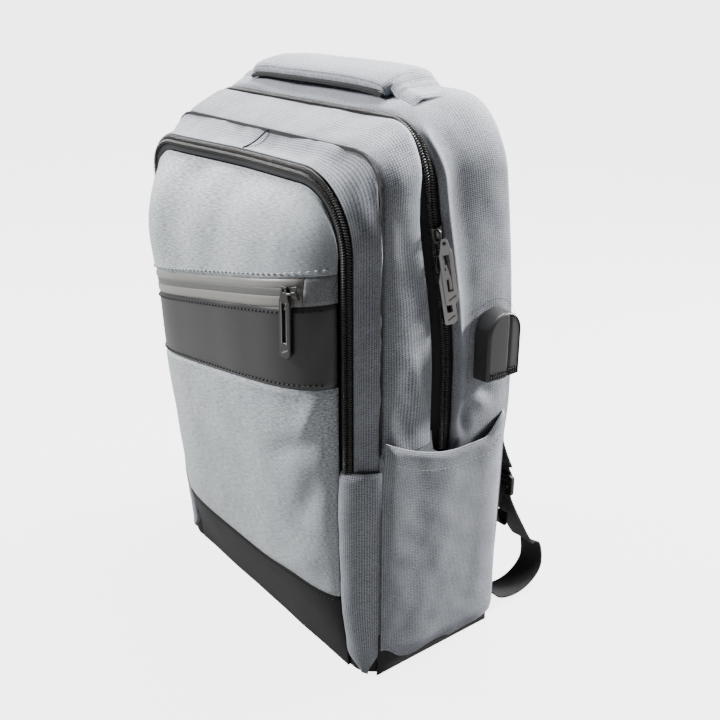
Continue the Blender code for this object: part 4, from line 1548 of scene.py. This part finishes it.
back = cloth(
    "back_mesh_panel", 110, 150, back_place, MESH, back_folds, depth=0.0060, reach=0.012, thick=0.0030,
    outward=(0, 1, 0),
)
settle(back, "pack", ["back_panel"])
binding = [back_place(1, i / 60) for i in range(61)] + [back_place(1 - i / 40, 1) for i in range(1, 40)]
binding += [back_place(0, 1 - i / 60) for i in range(61)]
binding = [Vector((p.x * 0.962, p.y + 0.0006, min(p.z, 0.4395))) for p in binding]
settle(tube("back_piping", binding, 0.0020, TAPE_SMOOTH), "pack")

YOKE_Y = back_y(0.43) + 0.0080


def strap_centre(t, side):
    x = 0.046 + 0.062 * t ** 4
    y = YOKE_Y + 0.012 + 0.018 * math.sin(math.pi * min(1.0, t)) + 0.036 * t * t
    return Vector((side * x, y, 0.4230 - 0.292 * t))


def ribbon(name, centres, width, thick, body, rows, nodes=(), bend=None):
    """A band of webbing along smooth points, with its width across the bag."""
    def place(u, t):
        here, h = smooth_through(centres, t), 0.01
        before, after = [smooth_through(centres, at) for at in (max(0, t - h), min(1, t + h))]
        ahead = (after - before).normalized()
        span = Vector((1, 0, 0))
        span = (span - ahead * span.dot(ahead)).normalized()
        return here + span * (width * (u - 0.5))

    band = cloth(name, 12, rows, place, WEBBING, roll=(0, 0, 0, 0), thick=thick, outward=(0, 1, 0.3))
    return settle(band, body, nodes, bend)


# Middle lines of the webbing: from the lock, or for the last stretch from the middle of the base.
LOOP_IN_LOCK = ((0, 0.0034, 0.0095), (0, 0.0036, 0.0030), (0, -0.0010, 0.0020), (0, -0.0036, 0.0060))
WEBBING_FROM_LOCK = (
    (0, -0.0032, 0.0005),
    (0, 0.0020, -0.0062),
    (0, 0.0045, -0.0165),
    (0.004, 0.012, -0.036),
    (0.010, 0.024, -0.062),
)
WEBBING_TO_TAB = (
    (0.124, 0.154, 0.040),
    (0.128, 0.152, 0.021),
    (0.129, 0.138, 0.0085),
    (0.129, 0.118, 0.0045),
    (0.128, 0.098, 0.0095),
    (0.126, 0.086, 0.0260),
    (0.126, 0.0845, 0.0400),
)
TAIL_FROM_LOCK = (
    (0, 0.0030, 0.0060),
    (0, -0.0012, 0.0),
    (-0.003, -0.0040, -0.0100),
    (-0.007, -0.0045, -0.0260),
    (-0.008, 0.0005, -0.0400),
    (-0.008, 0.0075, -0.0470),
    (-0.008, 0.0085, -0.0370),
)
# A box with one diagonal.
BOX_STITCH = ((-1, -1), (1, -1), (1, 1), (-1, 1), (-1, -1), (1, 1))

yoke = block(
    "yoke_block", (0.150, 0.006, 0.016), Matrix.Translation((0, YOKE_Y + 0.003, 0.434)), WEBBING,
    0.0018,
)
settle(yoke, "pack", ["yoke"])
for side, tag in SIDES:
    body = "strap_" + tag

    def strap_middle(u, t, side=side):
        share = 0.5 + 0.5 * t
        wide = 0.054 + 0.006 * math.sin(math.pi * share) - 0.016 * ease((share - 0.85) / 0.15)
        return strap_centre(share, side) + Vector((wide / 2 * u, 0, 0))

    def strap_half(u, t):
        quilt = 0.0011 * hump((t * 9.0) % 1.0, 0.5, 0.07) * (1 - u * u) if abs(t) < 0.86 else 0.0
        return swell(u, t, 0.0052, 0.0010, 5.0) - quilt

    pad = pillow("strap_pad_" + tag, 46, strap_middle, strap_half, MESH, (0.058, 0.30))
    settle(pad, body, [body])
    rim = [Vector(strap_middle(1, -1 + 2 * i / 50)) for i in range(51)]
    rim += [Vector(strap_middle(-1, 1 - 2 * i / 50)) for i in range(51)]
    settle(tube("strap_binding_" + tag, rim, 0.0018, TAPE_SMOOTH, closed=True), body)
    end = strap_centre(1.0, side)
    lock = end + Vector((side * 0.002, 0.005, -0.0225))
    face = Matrix.Translation(lock) @ Matrix.Rotation(math.radians(90), 4, "X")
    holes = [rounded(0.0250, 0.0042, 0.0012, 3, y=y) for y in (0.0032, -0.0032)]
    outlines = [rounded(0.0340, 0.0200, 0.0035)] + holes
    buckle = plate("strap_lock_" + tag, outlines, 0.0040, 0.0009, face, PLASTIC)
    settle(buckle, body, ["ladder_lock_" + tag])
    loop = [end + Vector((side * 0.0015, 0.001, 0.010)), end + Vector((side * 0.002, 0.005, -0.006))]
    loop += [lock + Vector(v) for v in LOOP_IN_LOCK]
    ribbon("lock_loop_" + tag, loop, 0.0235, 0.0014, body, 40)
    path = [lock + Vector((side * x, y, z)) for x, y, z in WEBBING_FROM_LOCK]
    path += [Vector((side * x, y, z)) for x, y, z in WEBBING_TO_TAB]
    bend = ("pack", body, (0, 0.15, 0.020), (0, 0.13, 0.095))
    ribbon("lower_webbing_" + tag, path, 0.0250, 0.0015, None, 130, ["webbing_" + tag], bend)
    tail = [lock + Vector((side * x, y, z)) for x, y, z in TAIL_FROM_LOCK]
    ribbon("webbing_end_" + tag, tail, 0.0240, 0.0015, body, 60, ["webbing_tail_" + tag])
    spot = Matrix.Translation((side * 0.127, 0.0843, 0.039))
    tab = block("anchor_tab_block_" + tag, (0.032, 0.0030, 0.026), spot, WEBBING, 0.0010)
    settle(tab, "pack", ["anchor_tab_" + tag])
    box_line = [Vector((side * 0.127 + 0.013 * a, 0.0859, 0.039 + 0.010 * b)) for a, b in BOX_STITCH]
    stitches("anchor_stitches_" + tag, box_line, lambda p: (0, 1, 0), THREAD_DARK, "pack")


# Solids that keep their own shape take a fine rounded edge and their finish.
def dress(node, material, width):
    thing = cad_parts[node]
    thing.data.materials.clear()
    thing.data.materials.append(material)
    bevel = thing.modifiers.new("Bevel", "BEVEL")
    bevel.width = width
    bevel.segments = 2
    bevel.limit_method = "ANGLE"
    bevel.angle_limit = math.radians(35)


dress("base_panel", BASE, 0.0015)
dress("usb_inlet", PLASTIC, 0.0004)
for node in ("front_wall", "front_wall_lower", "laptop_sleeve"):
    dress(node, coated_material("lining of " + node, (0.020, 0.020, 0.022), 0.8, size=900.0), 0.0006)
